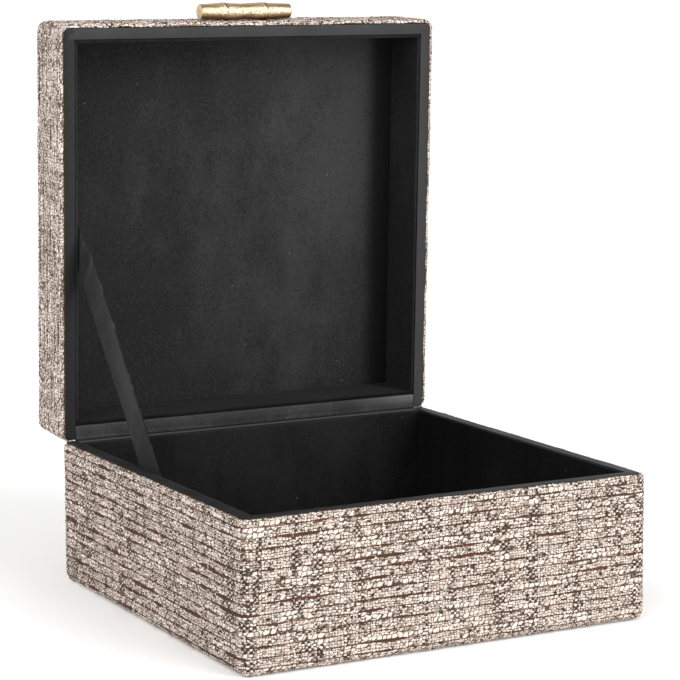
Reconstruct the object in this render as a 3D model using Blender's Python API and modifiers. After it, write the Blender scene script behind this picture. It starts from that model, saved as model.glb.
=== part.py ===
"""A square keepsake box with a hinged lid, modelled the way it is made.

Base and lid are two trays of fibreboard. Each is lined with suede-covered cards, has its rim bound in leatherette
and its outside wrapped in tweed. The hinge is cloth: a suede strip over the back rims, and the outer tweed, which
runs uncut from one back wall to the other. One ribbon stops the lid, and a bamboo-shaped bar lifts it.

Units are metres, +Z is up, and the front of the box faces -Y. The origin is on the floor under the base's centre.
A tray is modelled with its rim at z = 0 and its closed side up, which is how the lid lies when shut. The base is
the same tray turned over.
"""

import math
from dataclasses import dataclass

import bmesh
import bpy
from mathutils import Matrix, Vector

# Outer sizes of the box, over the cloth
BOX_WIDTH = 0.254
BOX_DEPTH = 0.252
BASE_HEIGHT = 0.085
LID_HEIGHT = 0.042

# Layers of a wall, from the outside in
CLOTH = 0.0024
WALL_BOARD = 0.0057
BINDING = 0.0005
LINING = 0.0018

# Boards of the floor and of the lid's top
PANEL_BOARD = 0.0039

# Clearances
FIT = 0.0003
RIM_GAP = 0.0004
OVERRUN = 0.002
MERGE = 0.00001

# Cloth wrap
CORNER_RADIUS = 0.006
CORNER_STEPS = 4
CLOTH_EDGE_RADIUS = 0.0009
HEM_WIDTH = 0.020
HEM_LIFT = 0.0004

# Rim binding and lining cards
BINDING_LEG = 0.010
LINING_DROP = 0.0004
LINING_EDGE_RADIUS = 0.0005

# Cloth hinge
OPEN_ANGLE = math.radians(87.6)
HINGE_INSET = 0.0007
HINGE_CLOTH_REACH = 0.008
HINGE_CLOTH_MARGIN = 0.009
HINGE_CLOTH_FOLD = 0.0004

# Ribbon that stops the lid
STAY_WIDTH = 0.022
STAY_THICKNESS = 0.0007
STAY_BASE_REACH = 0.104
STAY_LID_REACH = 0.118
STAY_TUCK = 0.017

# Bamboo bar
BAR_LENGTH = 0.061
BAR_RADIUS = 0.0049
BAR_NODE_FLARE = 0.0004
BAR_FLARE_LENGTH = 0.0055
BAR_NODE_SPACING = 0.027
BAR_GROOVE_WIDTH = 0.0007
BAR_GROOVE_DEPTH = 0.0005
BAR_LIP_LENGTH = 0.0009
BAR_END_CHAMFER = 0.0004
BAR_STANDOFF = 0.0056
BAR_RISE = 0.014
ROUND_STEPS = 28

# Bosses and screws of the bar
BOSS_RADIUS = 0.0025
BOSS_SPACING = 0.032
SCREW_RADIUS = 0.0015
SCREW_ENGAGEMENT = 0.005
SCREW_HEAD_RADIUS = 0.0029
SCREW_HEAD_HEIGHT = 0.0018
SCREW_HEAD_EDGE = 0.0005

# Faces of a wall, as offsets inwards from the outside of the cloth
BOARD_OUTER = CLOTH + FIT
BOARD_INNER = BOARD_OUTER + WALL_BOARD
LEG_OUTER = BOARD_INNER + FIT
LEG_INNER = LEG_OUTER + BINDING
LINING_OUTER = LEG_INNER + FIT
LINING_INNER = LINING_OUTER + LINING

# Half of the gap in a mitre, measured along the rim
MITRE_SHIFT = FIT / math.sqrt(2)

# Hinge axis
HINGE_Y = BOX_DEPTH / 2 - HINGE_INSET
HINGE_Z = BASE_HEIGHT + RIM_GAP / 2

# Colour, roughness and metallic value of each material
FINISHES = {
    "tweed": ((0.50, 0.40, 0.36), 0.95, 0.0),
    "suede": ((0.022, 0.022, 0.024), 0.90, 0.0),
    "leatherette": ((0.030, 0.031, 0.033), 0.55, 0.0),
    "fibreboard": ((0.36, 0.27, 0.18), 0.85, 0.0),
    "felt": ((0.020, 0.020, 0.020), 0.95, 0.0),
    "gold": ((0.83, 0.60, 0.30), 0.32, 1.0),
    "steel": ((0.55, 0.55, 0.56), 0.35, 1.0),
}


@dataclass(frozen=True)
class Tray:
    """One half of the box: its name, its empty, and its levels above the rim when it lies rim down."""

    name: str
    home: bpy.types.Object
    seat: Vector
    turn: int
    skin_height: float
    has_hem: bool

    @property
    def panel_outer(self) -> float:
        """Level of the panel board's outer face."""
        return self.skin_height - CLOTH - FIT

    @property
    def panel_inner(self) -> float:
        """Level of the panel board's inner face, which the walls stand on."""
        return self.panel_outer - PANEL_BOARD

    @property
    def wall_end(self) -> float:
        """Level where boards and cards of the walls stop, just short of the panel."""
        return self.panel_inner - FIT

    def side_name(self, sign: int) -> str:
        """Name of the side that lies at this sign of the tray's own x."""
        return "right" if sign * self.turn > 0 else "left"


def clear_scene() -> None:
    """Remove every object that is in the scene."""
    for obj in list(bpy.data.objects):
        bpy.data.objects.remove(obj, do_unlink=True)


def new_collection(name: str) -> bpy.types.Collection:
    """Make a collection in the scene."""
    collection = bpy.data.collections.new(name)
    bpy.context.scene.collection.children.link(collection)
    return collection


def material_for(node: str, finish: str) -> bpy.types.Material:
    """Make the Principled material of one node."""
    colour, roughness, metallic = FINISHES[finish]
    material = bpy.data.materials.new(f"{node}_{finish}")
    material.use_nodes = True
    shader = material.node_tree.nodes["Principled BSDF"]
    shader.inputs["Base Color"].default_value = (*colour, 1.0)
    shader.inputs["Roughness"].default_value = roughness
    shader.inputs["Metallic"].default_value = metallic
    material.diffuse_color = (*colour, 1.0)
    return material


def add_empty(name: str, location: Vector, rotation: tuple) -> bpy.types.Object:
    """Add an empty that carries pieces."""
    empty = bpy.data.objects.new(name, None)
    empty.location = location
    empty.rotation_euler = rotation
    PIECES.objects.link(empty)
    return empty


def add_piece(name: str, mesh: bpy.types.Mesh, finish: str, home: bpy.types.Object, seat: Vector):
    """Add the object of one node under its empty."""
    obj = bpy.data.objects.new(name, mesh)
    if not mesh.materials:
        mesh.materials.append(material_for(name, finish))
    obj.parent = home
    obj.location = seat
    PIECES.objects.link(obj)
    return obj


def add_cutter(name: str, mesh: bpy.types.Mesh, home: bpy.types.Object, seat: Vector) -> bpy.types.Object:
    """Add a tool for a Boolean, which isn't a piece of the box."""
    obj = bpy.data.objects.new(name, mesh)
    obj.parent = home
    obj.location = seat
    obj.hide_render = True
    obj.display_type = "WIRE"
    CUTTERS.objects.link(obj)
    return obj


def boolean(obj: bpy.types.Object, tool: bpy.types.Object, operation: str = "DIFFERENCE") -> None:
    """Cut obj with a tool, or join the tool to it."""
    modifier = obj.modifiers.new(f"{operation.lower()}_{tool.name}", "BOOLEAN")
    modifier.operation = operation
    modifier.solver = "EXACT"
    modifier.object = tool


def round_edges(obj: bpy.types.Object, radius: float, segments: int, angle: float) -> None:
    """Round the edges that are sharper than an angle."""
    modifier = obj.modifiers.new("round_edges", "BEVEL")
    modifier.width = radius
    modifier.segments = segments
    modifier.limit_method = "ANGLE"
    modifier.angle_limit = math.radians(angle)


def round_off(bm: bmesh.types.BMesh, edges: list, radius: float) -> None:
    """Round some edges of a mesh that is being built."""
    bmesh.ops.bevel(
        bm,
        geom=edges,
        offset=radius,
        offset_type="OFFSET",
        segments=CORNER_STEPS,
        profile=0.5,
        affect="EDGES",
    )


def mesh_from(bm: bmesh.types.BMesh, name: str) -> bpy.types.Mesh:
    """Write a bmesh to a new mesh and free it."""
    mesh = bpy.data.meshes.new(name)
    bm.to_mesh(mesh)
    bm.free()
    return mesh


def box_mesh(low: Vector, high: Vector) -> bpy.types.Mesh:
    """A box between two corners."""
    bm = bmesh.new()
    centre = (Vector(low) + Vector(high)) / 2
    size = Vector(high) - Vector(low)
    bmesh.ops.create_cube(bm, size=1.0, matrix=Matrix.Translation(centre) @ Matrix.Diagonal(size).to_4x4())
    return mesh_from(bm, "box")


def rod_mesh(radius: float, low: Vector, high: Vector) -> bpy.types.Mesh:
    """A cylinder from one point to another."""
    bm = bmesh.new()
    axis = Vector(high) - Vector(low)
    place = Matrix.Translation((Vector(low) + Vector(high)) / 2) @ axis.to_track_quat("Z", "Y").to_matrix().to_4x4()
    bmesh.ops.create_cone(
        bm,
        cap_ends=True,
        segments=ROUND_STEPS,
        radius1=radius,
        radius2=radius,
        depth=axis.length,
        matrix=place,
    )
    return mesh_from(bm, "rod")


def prism_mesh(outline: list, length: float) -> bpy.types.Mesh:
    """A bar of constant section: an outline of (y, z) points, thickened along x to both sides of x = 0."""
    curve = bpy.data.curves.new("section", "CURVE")
    curve.dimensions = "2D"
    curve.fill_mode = "BOTH"
    curve.extrude = length / 2
    spline = curve.splines.new("POLY")
    spline.points.add(len(outline) - 1)
    for point, (across, up) in zip(spline.points, outline):
        point.co = (across, up, 0.0, 1.0)
    spline.use_cyclic_u = True
    holder = bpy.data.objects.new("section", curve)
    PIECES.objects.link(holder)
    bpy.context.view_layer.update()
    evaluated = holder.evaluated_get(bpy.context.evaluated_depsgraph_get())
    mesh = bpy.data.meshes.new_from_object(evaluated)
    bpy.data.objects.remove(holder)
    bpy.data.curves.remove(curve)
    bm = bmesh.new()
    bm.from_mesh(mesh)
    bmesh.ops.remove_doubles(bm, verts=bm.verts, dist=MERGE)
    bmesh.ops.recalc_face_normals(bm, faces=bm.faces)
    bm.to_mesh(mesh)
    bm.free()
    mesh.transform(Matrix(((0, 0, 1, 0), (1, 0, 0, 0), (0, 1, 0, 0), (0, 0, 0, 1))))
    return mesh


def turned_mesh(profile: list) -> bpy.types.Mesh:
    """The open profile of a turned piece, as (radius, height) points from its top to its foot."""
    bm = bmesh.new()
    points = [bm.verts.new((radius, 0.0, height)) for radius, height in profile]
    for first, second in zip(points, points[1:]):
        bm.edges.new((first, second))
    return mesh_from(bm, "profile")


def turn(obj: bpy.types.Object) -> None:
    """Spin an object's profile about its own Z axis."""
    modifier = obj.modifiers.new("turned", "SCREW")
    modifier.axis = "Z"
    modifier.angle = math.tau
    modifier.steps = ROUND_STEPS
    modifier.render_steps = ROUND_STEPS
    modifier.use_merge_vertices = True
    modifier.merge_threshold = MERGE
    modifier.use_smooth_shade = True


def saw(mesh: bpy.types.Mesh, point: Vector, away: Vector) -> None:
    """Cut a closed mesh along a plane, drop the part on the side that away points to, and close the cut."""
    bm = bmesh.new()
    bm.from_mesh(mesh)
    cut = bmesh.ops.bisect_plane(
        bm,
        geom=[*bm.verts, *bm.edges, *bm.faces],
        plane_co=point,
        plane_no=away,
        clear_outer=True,
    )
    rim = [part for part in cut["geom_cut"] if isinstance(part, bmesh.types.BMEdge)]
    bmesh.ops.contextual_create(bm, geom=rim)
    bmesh.ops.recalc_face_normals(bm, faces=bm.faces)
    bm.to_mesh(mesh)
    bm.free()


def half_plan(offset: float) -> tuple:
    """Half the width and half the depth of the rectangle that lies offset inside the cloth's outside."""
    return BOX_WIDTH / 2 - offset, BOX_DEPTH / 2 - offset


def wall_set(tray: Tray, kind: str, finish: str, outer: float, inner: float, start: float) -> list:
    """Four upright slabs: front and back run full width, and left and right fit between them."""
    out_x, out_y = half_plan(outer)
    in_x, in_y = half_plan(inner)
    between = in_y - FIT
    slabs = []
    for sign, side in ((-1, "front"), (1, "back")):
        edges = sorted((sign * out_y, sign * in_y))
        mesh = box_mesh((-out_x, edges[0], start), (out_x, edges[1], tray.wall_end))
        slabs.append(add_piece(f"{tray.name}_{side}_{kind}", mesh, finish, tray.home, tray.seat))
    for sign in (-1, 1):
        edges = sorted((sign * out_x, sign * in_x))
        mesh = box_mesh((edges[0], -between, start), (edges[1], between, tray.wall_end))
        name = f"{tray.name}_{tray.side_name(sign)}_{kind}"
        slabs.append(add_piece(name, mesh, finish, tray.home, tray.seat))
    return slabs


def add_core(tray: Tray) -> bpy.types.Object:
    """A block with rounded corners that the boards and bindings are trimmed to, just inside the cloth."""
    half_x, half_y = half_plan(BOARD_OUTER)
    low = Vector((-half_x, -half_y, -OVERRUN))
    high = Vector((half_x, half_y, tray.panel_outer))
    bm = bmesh.new()
    place = Matrix.Translation((low + high) / 2) @ Matrix.Diagonal(high - low).to_4x4()
    bmesh.ops.create_cube(bm, size=1.0, matrix=place)
    edges = [edge for edge in bm.edges if max(vert.co.z for vert in edge.verts) > 0]
    round_off(bm, edges, CORNER_RADIUS - BOARD_OUTER)
    return add_cutter(f"{tray.name}_core", mesh_from(bm, "core"), tray.home, tray.seat)


def add_boards(tray: Tray, panel_side: str, core: bpy.types.Object) -> dict:
    """The fibreboard carcass: four butted walls on one panel, with its outer corners rounded for the cloth."""
    boards = wall_set(tray, "board", "fibreboard", 0.0, BOARD_INNER, BINDING + FIT)
    half_x, half_y = half_plan(0.0)
    mesh = box_mesh((-half_x, -half_y, tray.panel_inner), (half_x, half_y, tray.skin_height))
    boards.append(add_piece(f"{tray.name}_{panel_side}_board", mesh, "fibreboard", tray.home, tray.seat))
    for board in boards:
        boolean(board, core, "INTERSECT")
    return {board.name: board for board in boards}


def add_linings(tray: Tray, panel_side: str) -> None:
    """Suede-covered cards on the four walls, and one on the panel between them."""
    cards = wall_set(tray, "lining", "suede", LINING_OUTER, LINING_INNER, LINING_DROP)
    half_x, half_y = half_plan(LINING_INNER + FIT)
    mesh = box_mesh((-half_x, -half_y, tray.wall_end - LINING), (half_x, half_y, tray.wall_end))
    cards.append(add_piece(f"{tray.name}_{panel_side}_lining", mesh, "suede", tray.home, tray.seat))
    for card in cards:
        round_edges(card, LINING_EDGE_RADIUS, 2, 60)


def binding_section(half_span: float) -> list:
    """Section of the rim binding, over the board's edge and down its inner face, as points for a prism."""
    points = (
        (0.0, 0.0),
        (LEG_INNER, 0.0),
        (LEG_INNER, BINDING_LEG),
        (LEG_OUTER, BINDING_LEG),
        (LEG_OUTER, BINDING),
        (0.0, BINDING),
    )
    return [(inward - half_span, level) for inward, level in points]


def add_front_binding(tray: Tray, core: bpy.types.Object) -> None:
    """The front rim's binding, mitred at both ends."""
    half_x, half_y = half_plan(0.0)
    mesh = prism_mesh(binding_section(half_y), BOX_WIDTH)
    for sign in (-1, 1):
        saw(mesh, Vector((sign * (half_x - MITRE_SHIFT), -half_y, 0.0)), Vector((sign, 1.0, 0.0)))
    binding = add_piece(f"{tray.name}_front_binding", mesh, "leatherette", tray.home, tray.seat)
    boolean(binding, core, "INTERSECT")


def add_side_bindings(tray: Tray, core: bpy.types.Object) -> None:
    """The side rims' bindings, mitred at the front, with their legs cut short of the back board."""
    half_x, half_y = half_plan(0.0)
    for sign in (-1, 1):
        mesh = prism_mesh(binding_section(half_x), BOX_DEPTH)
        mesh.transform(Matrix.Rotation(sign * math.radians(90), 4, "Z"))
        saw(mesh, Vector((sign * (half_x + MITRE_SHIFT), -half_y, 0.0)), Vector((-sign, -1.0, 0.0)))
        name = f"{tray.name}_{tray.side_name(sign)}_binding"
        binding = add_piece(name, mesh, "leatherette", tray.home, tray.seat)
        boolean(binding, core, "INTERSECT")
        edges = sorted((sign * (half_x - BOARD_INNER), sign * (half_x - LINING_INNER)))
        low = (edges[0], half_y - LEG_OUTER, BINDING)
        high = (edges[1], half_y + OVERRUN, BINDING_LEG + OVERRUN)
        boolean(binding, add_cutter(f"{name}_relief", box_mesh(low, high), tray.home, tray.seat))


def cloth_mesh(tray: Tray) -> bpy.types.Mesh:
    """The outside of the cloth as an open surface: rounded walls and either a whole top or a turned hem."""
    bm = bmesh.new()
    size = Matrix.Diagonal((BOX_WIDTH, BOX_DEPTH, tray.skin_height, 1.0))
    bmesh.ops.create_cube(bm, size=1.0, matrix=Matrix.Translation((0, 0, tray.skin_height / 2)) @ size)
    rim = [face for face in bm.faces if face.normal.z < -0.5]
    bmesh.ops.delete(bm, geom=rim, context="FACES")
    round_off(bm, [edge for edge in bm.edges if len(edge.link_faces) == 2], CORNER_RADIUS)
    if tray.has_hem:
        bm.normal_update()
        top = next(face for face in bm.faces if face.normal.z > 0.999)
        bmesh.ops.inset_region(bm, faces=[top], thickness=HEM_WIDTH - CORNER_RADIUS, use_even_offset=True)
        bmesh.ops.delete(bm, geom=[top], context="FACES")
    return mesh_from(bm, "cloth")


def add_cloth_wrap(tray: Tray) -> bpy.types.Object:
    """The tweed on the outside, with a notch at the back where the hinge cloth runs on."""
    name = f"{tray.name}_cloth_wrap"
    wrap = add_piece(name, cloth_mesh(tray), "tweed", tray.home, tray.seat)
    shell = wrap.modifiers.new("thickness", "SOLIDIFY")
    shell.thickness = CLOTH
    shell.offset = -1.0
    shell.use_even_offset = True
    round_edges(wrap, CLOTH_EDGE_RADIUS, 2, 60)
    half_width = BOX_WIDTH / 2 - HINGE_CLOTH_MARGIN + FIT
    low = (-half_width, BOX_DEPTH / 2 - BOARD_OUTER, -OVERRUN)
    high = (half_width, BOX_DEPTH / 2 + OVERRUN, HINGE_CLOTH_REACH + FIT)
    boolean(wrap, add_cutter(f"{name}_notch", box_mesh(low, high), tray.home, tray.seat))
    return wrap


def add_underside_pad(tray: Tray) -> None:
    """The felt panel that fills the hem and carries the box."""
    half_x, half_y = half_plan(HEM_WIDTH + FIT)
    mesh = box_mesh((-half_x, -half_y, tray.panel_outer + FIT), (half_x, half_y, BASE_HEIGHT))
    add_piece(f"{tray.name}_underside_pad", mesh, "felt", tray.home, tray.seat)


def to_lid(point: tuple) -> tuple:
    """Move a (y, z) point about the hinge axis from the base to its mirror place on the open lid."""
    across, up = point[0], -point[1]
    return (
        across * math.cos(OPEN_ANGLE) + up * math.sin(OPEN_ANGLE),
        -across * math.sin(OPEN_ANGLE) + up * math.cos(OPEN_ANGLE),
    )


def across_at(fold: float, up: float) -> float:
    """The y of a sheet that bends round the hinge axis at a distance, where it has this z."""
    return (up * math.sin(OPEN_ANGLE / 2) - fold) / math.cos(OPEN_ANGLE / 2)


def up_at(fold: float, across: float) -> float:
    """The z of a sheet that bends round the hinge axis at a distance, where it has this y."""
    return (fold + across * math.cos(OPEN_ANGLE / 2)) / math.sin(OPEN_ANGLE / 2)


def mirrored_section(half: list, middle: list) -> list:
    """A section that is alike on base and lid: base points, one chain of middle points, lid points."""
    return [*half, *middle, *(to_lid(point) for point in reversed(half))]


def add_hinge_cloth(home: bpy.types.Object) -> None:
    """The outer tweed where it runs on from the base's back wall to the lid's."""
    outside = HINGE_INSET
    inside = HINGE_INSET - CLOTH
    foot = -RIM_GAP / 2 - HINGE_CLOTH_REACH
    crease = -outside * math.tan(OPEN_ANGLE / 2)
    inner_side = [(inside, up_at(HINGE_CLOTH_FOLD, inside)), (inside, foot), (outside, foot)]
    section = mirrored_section(inner_side, [(outside, crease)])
    length = BOX_WIDTH - 2 * HINGE_CLOTH_MARGIN
    add_piece("hinge_cloth", prism_mesh(section, length), "tweed", home, Vector())


def add_hinge_strip(home: bpy.types.Object) -> None:
    """The suede strip over both back rims, tucked behind the back linings."""
    rim = -RIM_GAP / 2
    under_fold = HINGE_CLOTH_FOLD + FIT
    leg_outer = HINGE_INSET - LEG_OUTER
    leg_inner = HINGE_INSET - LEG_INNER
    under = rim - BINDING
    section_half = [
        (across_at(under_fold, under), under),
        (leg_outer, under),
        (leg_outer, rim - BINDING_LEG),
        (leg_inner, rim - BINDING_LEG),
        (leg_inner, rim),
        (across_at(under_fold + BINDING, rim), rim),
    ]
    half_x, _ = half_plan(LEG_INNER + FIT)
    add_piece("hinge_strip", prism_mesh(mirrored_section(section_half, []), 2 * half_x), "suede", home, Vector())


def add_stay_ribbon(home: bpy.types.Object) -> None:
    """The flat ribbon on the left, from the base's lining to the lid's, pulled straight by the open lid."""
    base_point = Vector((-STAY_BASE_REACH, -RIM_GAP / 2))
    lid_point = Vector(to_lid((-STAY_LID_REACH, -RIM_GAP / 2)))
    along = (lid_point - base_point).normalized()
    across = Vector((-along.y, along.x)) * STAY_WIDTH / 2
    foot = base_point - along * STAY_TUCK
    head = lid_point + along * STAY_TUCK
    outline = [tuple(point) for point in (foot - across, head - across, head + across, foot + across)]
    face = -BOX_WIDTH / 2 + LINING_INNER + FIT
    place = Vector((face + STAY_THICKNESS / 2, 0.0, 0.0))
    add_piece("stay_ribbon", prism_mesh(outline, STAY_THICKNESS), "suede", home, place)


def bar_profile() -> list:
    """Profile of the bamboo bar: three canes that flare to two grooved nodes, and flat ends."""
    half = BAR_LENGTH / 2
    node = BAR_NODE_SPACING / 2
    lip = BAR_RADIUS + BAR_NODE_FLARE
    groove = BAR_GROOVE_WIDTH / 2
    upper_half = [
        (0.0, half),
        (BAR_RADIUS - BAR_END_CHAMFER, half),
        (BAR_RADIUS, half - BAR_END_CHAMFER),
        (BAR_RADIUS, node + BAR_FLARE_LENGTH),
    ]
    flare_steps = 3
    for step in range(1, flare_steps + 1):
        share = step / flare_steps
        away = BAR_FLARE_LENGTH + (BAR_LIP_LENGTH - BAR_FLARE_LENGTH) * share
        upper_half.append((BAR_RADIUS + BAR_NODE_FLARE * share * share, node + away))
    upper_half += [
        (lip, node + groove),
        (lip - BAR_GROOVE_DEPTH, node),
        (lip, node - groove),
        (lip, node - BAR_LIP_LENGTH),
    ]
    for step in range(1, flare_steps + 1):
        share = step / flare_steps
        away = BAR_LIP_LENGTH + (BAR_FLARE_LENGTH - BAR_LIP_LENGTH) * share
        upper_half.append((BAR_RADIUS + BAR_NODE_FLARE * (1 - share) ** 2, node - away))
    return upper_half + [(radius, -height) for radius, height in reversed(upper_half)]


def add_handle_bar(lid: Tray) -> None:
    """The cast bar with its two bosses, each drilled for a screw."""
    front = -BOX_DEPTH / 2
    axis_y = front - BAR_STANDOFF
    foot_y = front + CLOTH
    bottom_y = foot_y - SCREW_ENGAGEMENT - FIT
    bar = add_piece("handle_bar", turned_mesh(bar_profile()), "gold", lid.home, lid.seat)
    bar.location = lid.seat + Vector((0.0, axis_y, BAR_RISE))
    bar.rotation_euler = (0.0, math.radians(90), 0.0)
    turn(bar)
    for side, sign in (("left", -1), ("right", 1)):
        across = sign * BOSS_SPACING / 2
        boss = rod_mesh(BOSS_RADIUS, (across, axis_y, BAR_RISE), (across, foot_y, BAR_RISE))
        hole = rod_mesh(SCREW_RADIUS + FIT, (across, bottom_y, BAR_RISE), (across, foot_y + OVERRUN, BAR_RISE))
        boolean(bar, add_cutter(f"{side}_boss", boss, lid.home, lid.seat), "UNION")
        boolean(bar, add_cutter(f"{side}_boss_hole", hole, lid.home, lid.seat))


def add_handle_screws(lid: Tray) -> None:
    """Two pan-headed screws from inside the lid into the bosses."""
    head_top = BOARD_INNER
    seat = head_top - SCREW_HEAD_HEIGHT
    tip = CLOTH - SCREW_ENGAGEMENT
    profile = [
        (0.0, head_top),
        (SCREW_HEAD_RADIUS - SCREW_HEAD_EDGE, head_top),
        (SCREW_HEAD_RADIUS, head_top - SCREW_HEAD_EDGE),
        (SCREW_HEAD_RADIUS, seat),
        (SCREW_RADIUS, seat),
        (SCREW_RADIUS, tip),
        (0.0, tip),
    ]
    mesh = turned_mesh(profile)
    for side, sign in (("left", -1), ("right", 1)):
        screw = add_piece(f"handle_{side}_screw", mesh, "steel", lid.home, lid.seat)
        screw.location = lid.seat + Vector((sign * BOSS_SPACING / 2, -BOX_DEPTH / 2, BAR_RISE))
        screw.rotation_euler = (math.radians(-90), 0.0, 0.0)
        turn(screw)


def drill_handle_holes(lid: Tray, wrap: bpy.types.Object, board: bpy.types.Object) -> None:
    """Holes for the bosses in the cloth, and holes with sunk head seats for the screws in the front board."""
    front = -BOX_DEPTH / 2
    inner = front + BOARD_INNER
    for side, sign in (("left", -1), ("right", 1)):
        across = sign * BOSS_SPACING / 2
        low = (across, front - OVERRUN, BAR_RISE)
        high = (across, inner + OVERRUN, BAR_RISE)
        seat = (across, inner - SCREW_HEAD_HEIGHT - FIT, BAR_RISE)
        holes = (
            (wrap, "boss_way", BOSS_RADIUS, low),
            (board, "shank_way", SCREW_RADIUS, low),
            (board, "head_seat", SCREW_HEAD_RADIUS, seat),
        )
        for piece, kind, radius, start in holes:
            drill = rod_mesh(radius + FIT, start, high)
            boolean(piece, add_cutter(f"{side}_{kind}", drill, lid.home, lid.seat))


def build_base() -> None:
    """The base, standing on the floor."""
    home = add_empty("base_frame", Vector((0.0, 0.0, BASE_HEIGHT)), (0.0, math.pi, 0.0))
    base = Tray("base", home, Vector(), -1, BASE_HEIGHT - HEM_LIFT, True)
    core = add_core(base)
    add_boards(base, "bottom", core)
    add_cloth_wrap(base)
    add_underside_pad(base)
    add_front_binding(base, core)
    add_side_bindings(base, core)
    add_linings(base, "floor")


def build_lid() -> None:
    """The lid, turned open about the hinge axis."""
    home = add_empty("lid_hinge_axis", Vector((0.0, HINGE_Y, HINGE_Z)), (-OPEN_ANGLE, 0.0, 0.0))
    lid = Tray("lid", home, Vector((0.0, -HINGE_Y, RIM_GAP / 2)), 1, LID_HEIGHT, False)
    core = add_core(lid)
    boards = add_boards(lid, "top", core)
    wrap = add_cloth_wrap(lid)
    add_front_binding(lid, core)
    add_side_bindings(lid, core)
    add_linings(lid, "top")
    add_handle_bar(lid)
    add_handle_screws(lid)
    drill_handle_holes(lid, wrap, boards["lid_front_board"])


def build_soft_joint() -> None:
    """The three soft pieces that cross from base to lid."""
    home = add_empty("soft_hinge_axis", Vector((0.0, HINGE_Y, HINGE_Z)), (0.0, 0.0, 0.0))
    add_hinge_cloth(home)
    add_hinge_strip(home)
    add_stay_ribbon(home)


clear_scene()
PIECES = new_collection("storage_box")
CUTTERS = new_collection("cutters")
build_base()
build_lid()
build_soft_joint()
bpy.context.view_layer.update()
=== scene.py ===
"""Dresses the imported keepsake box: tweed outside, suede inside, leatherette rims and a gilt bamboo handle.

Units are metres in the row frame: +Z is up, the front of the box faces -Y, and the origin is under the
base's centre. Both halves of the box are trays. A tray's own frame has x to the right, y to the back
and w from its rim plane towards its closed side, and a Seat carries that frame into the row frame.
"""

import logging
import math
from collections.abc import Callable, Iterable, Iterator
from contextlib import contextmanager
from dataclasses import dataclass, field
from enum import Enum

import bmesh
import bpy
import numpy as np
from mathutils import Matrix, Vector


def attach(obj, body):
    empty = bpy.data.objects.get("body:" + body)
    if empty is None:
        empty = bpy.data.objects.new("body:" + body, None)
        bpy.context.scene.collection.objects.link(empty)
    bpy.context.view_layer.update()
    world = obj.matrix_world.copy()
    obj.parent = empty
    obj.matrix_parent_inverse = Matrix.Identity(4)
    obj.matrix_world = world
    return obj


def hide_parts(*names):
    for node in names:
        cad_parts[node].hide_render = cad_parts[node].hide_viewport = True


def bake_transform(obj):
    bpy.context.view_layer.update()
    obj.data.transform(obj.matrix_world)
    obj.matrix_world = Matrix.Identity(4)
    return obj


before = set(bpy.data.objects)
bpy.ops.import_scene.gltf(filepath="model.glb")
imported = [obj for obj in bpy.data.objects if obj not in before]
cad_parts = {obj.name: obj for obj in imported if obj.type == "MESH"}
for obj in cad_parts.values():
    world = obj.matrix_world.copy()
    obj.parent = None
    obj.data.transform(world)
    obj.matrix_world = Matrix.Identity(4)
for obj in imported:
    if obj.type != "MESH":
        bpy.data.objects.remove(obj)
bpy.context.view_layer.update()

LOG = logging.getLogger("keepsake_box")

# Outer sizes of the box over its cloth, and its hinge line
WIDTH = 0.254
DEPTH = 0.252
BASE_HEIGHT = 0.085
BASE_SKIN = 0.0846
LID_HEIGHT = 0.042
HINGE_Y = 0.1253
HINGE_Z = 0.0852
HINGE_INSET = 0.0007
RIM_GAP = 0.0004
OPEN_ANGLE = math.radians(87.6)

# Layers of a wall, as offsets inwards from the outside of the cloth
CLOTH = 0.0024
BOARD_OUTER = 0.0027
LEG_OUTER = 0.0087
LEG_INNER = 0.0092
LINING_OUTER = 0.0095
LINING_INNER = 0.0113

# Thicknesses, the depth of a binding's leg, the gap between glued pieces and the outer edges' radius
END_BOARD = 0.0039
BINDING = 0.0005
BINDING_LEG = 0.010
FIT = 0.0003
CORNER_RADIUS = 0.006

# Weave: half the distance from one yarn to the next, and the row where the back wall's notch ends
HALF_PITCH = 0.00096
NOTCH_ROW = 10

# A quarter turn, and the angle in degrees over which an edge in the cloth stays sharp
QUARTER = math.pi / 2
CLOTH_ANGLE = 75.0

Pair = tuple[float, float]
Point = tuple[float, float, float]
Colour = tuple[float, float, float]
Piece = bpy.types.Object
Socket = bpy.types.NodeSocket
Value = float | Socket
Paint = Value | Colour


class Half(Enum):
    """The two rigid halves of the box, by the names of their bodies."""

    BASE = "base"
    LID = "lid"


class Slot(Enum):
    """The record's material slots, by name."""

    TWEED = "tweed"
    SUEDE = "suede"
    LEATHERETTE = "leatherette"
    GOLD = "gold"


class Axis(Enum):
    """Directions of a mesh's own frame."""

    X = 0
    Y = 1
    Z = 2


# Materials


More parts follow.
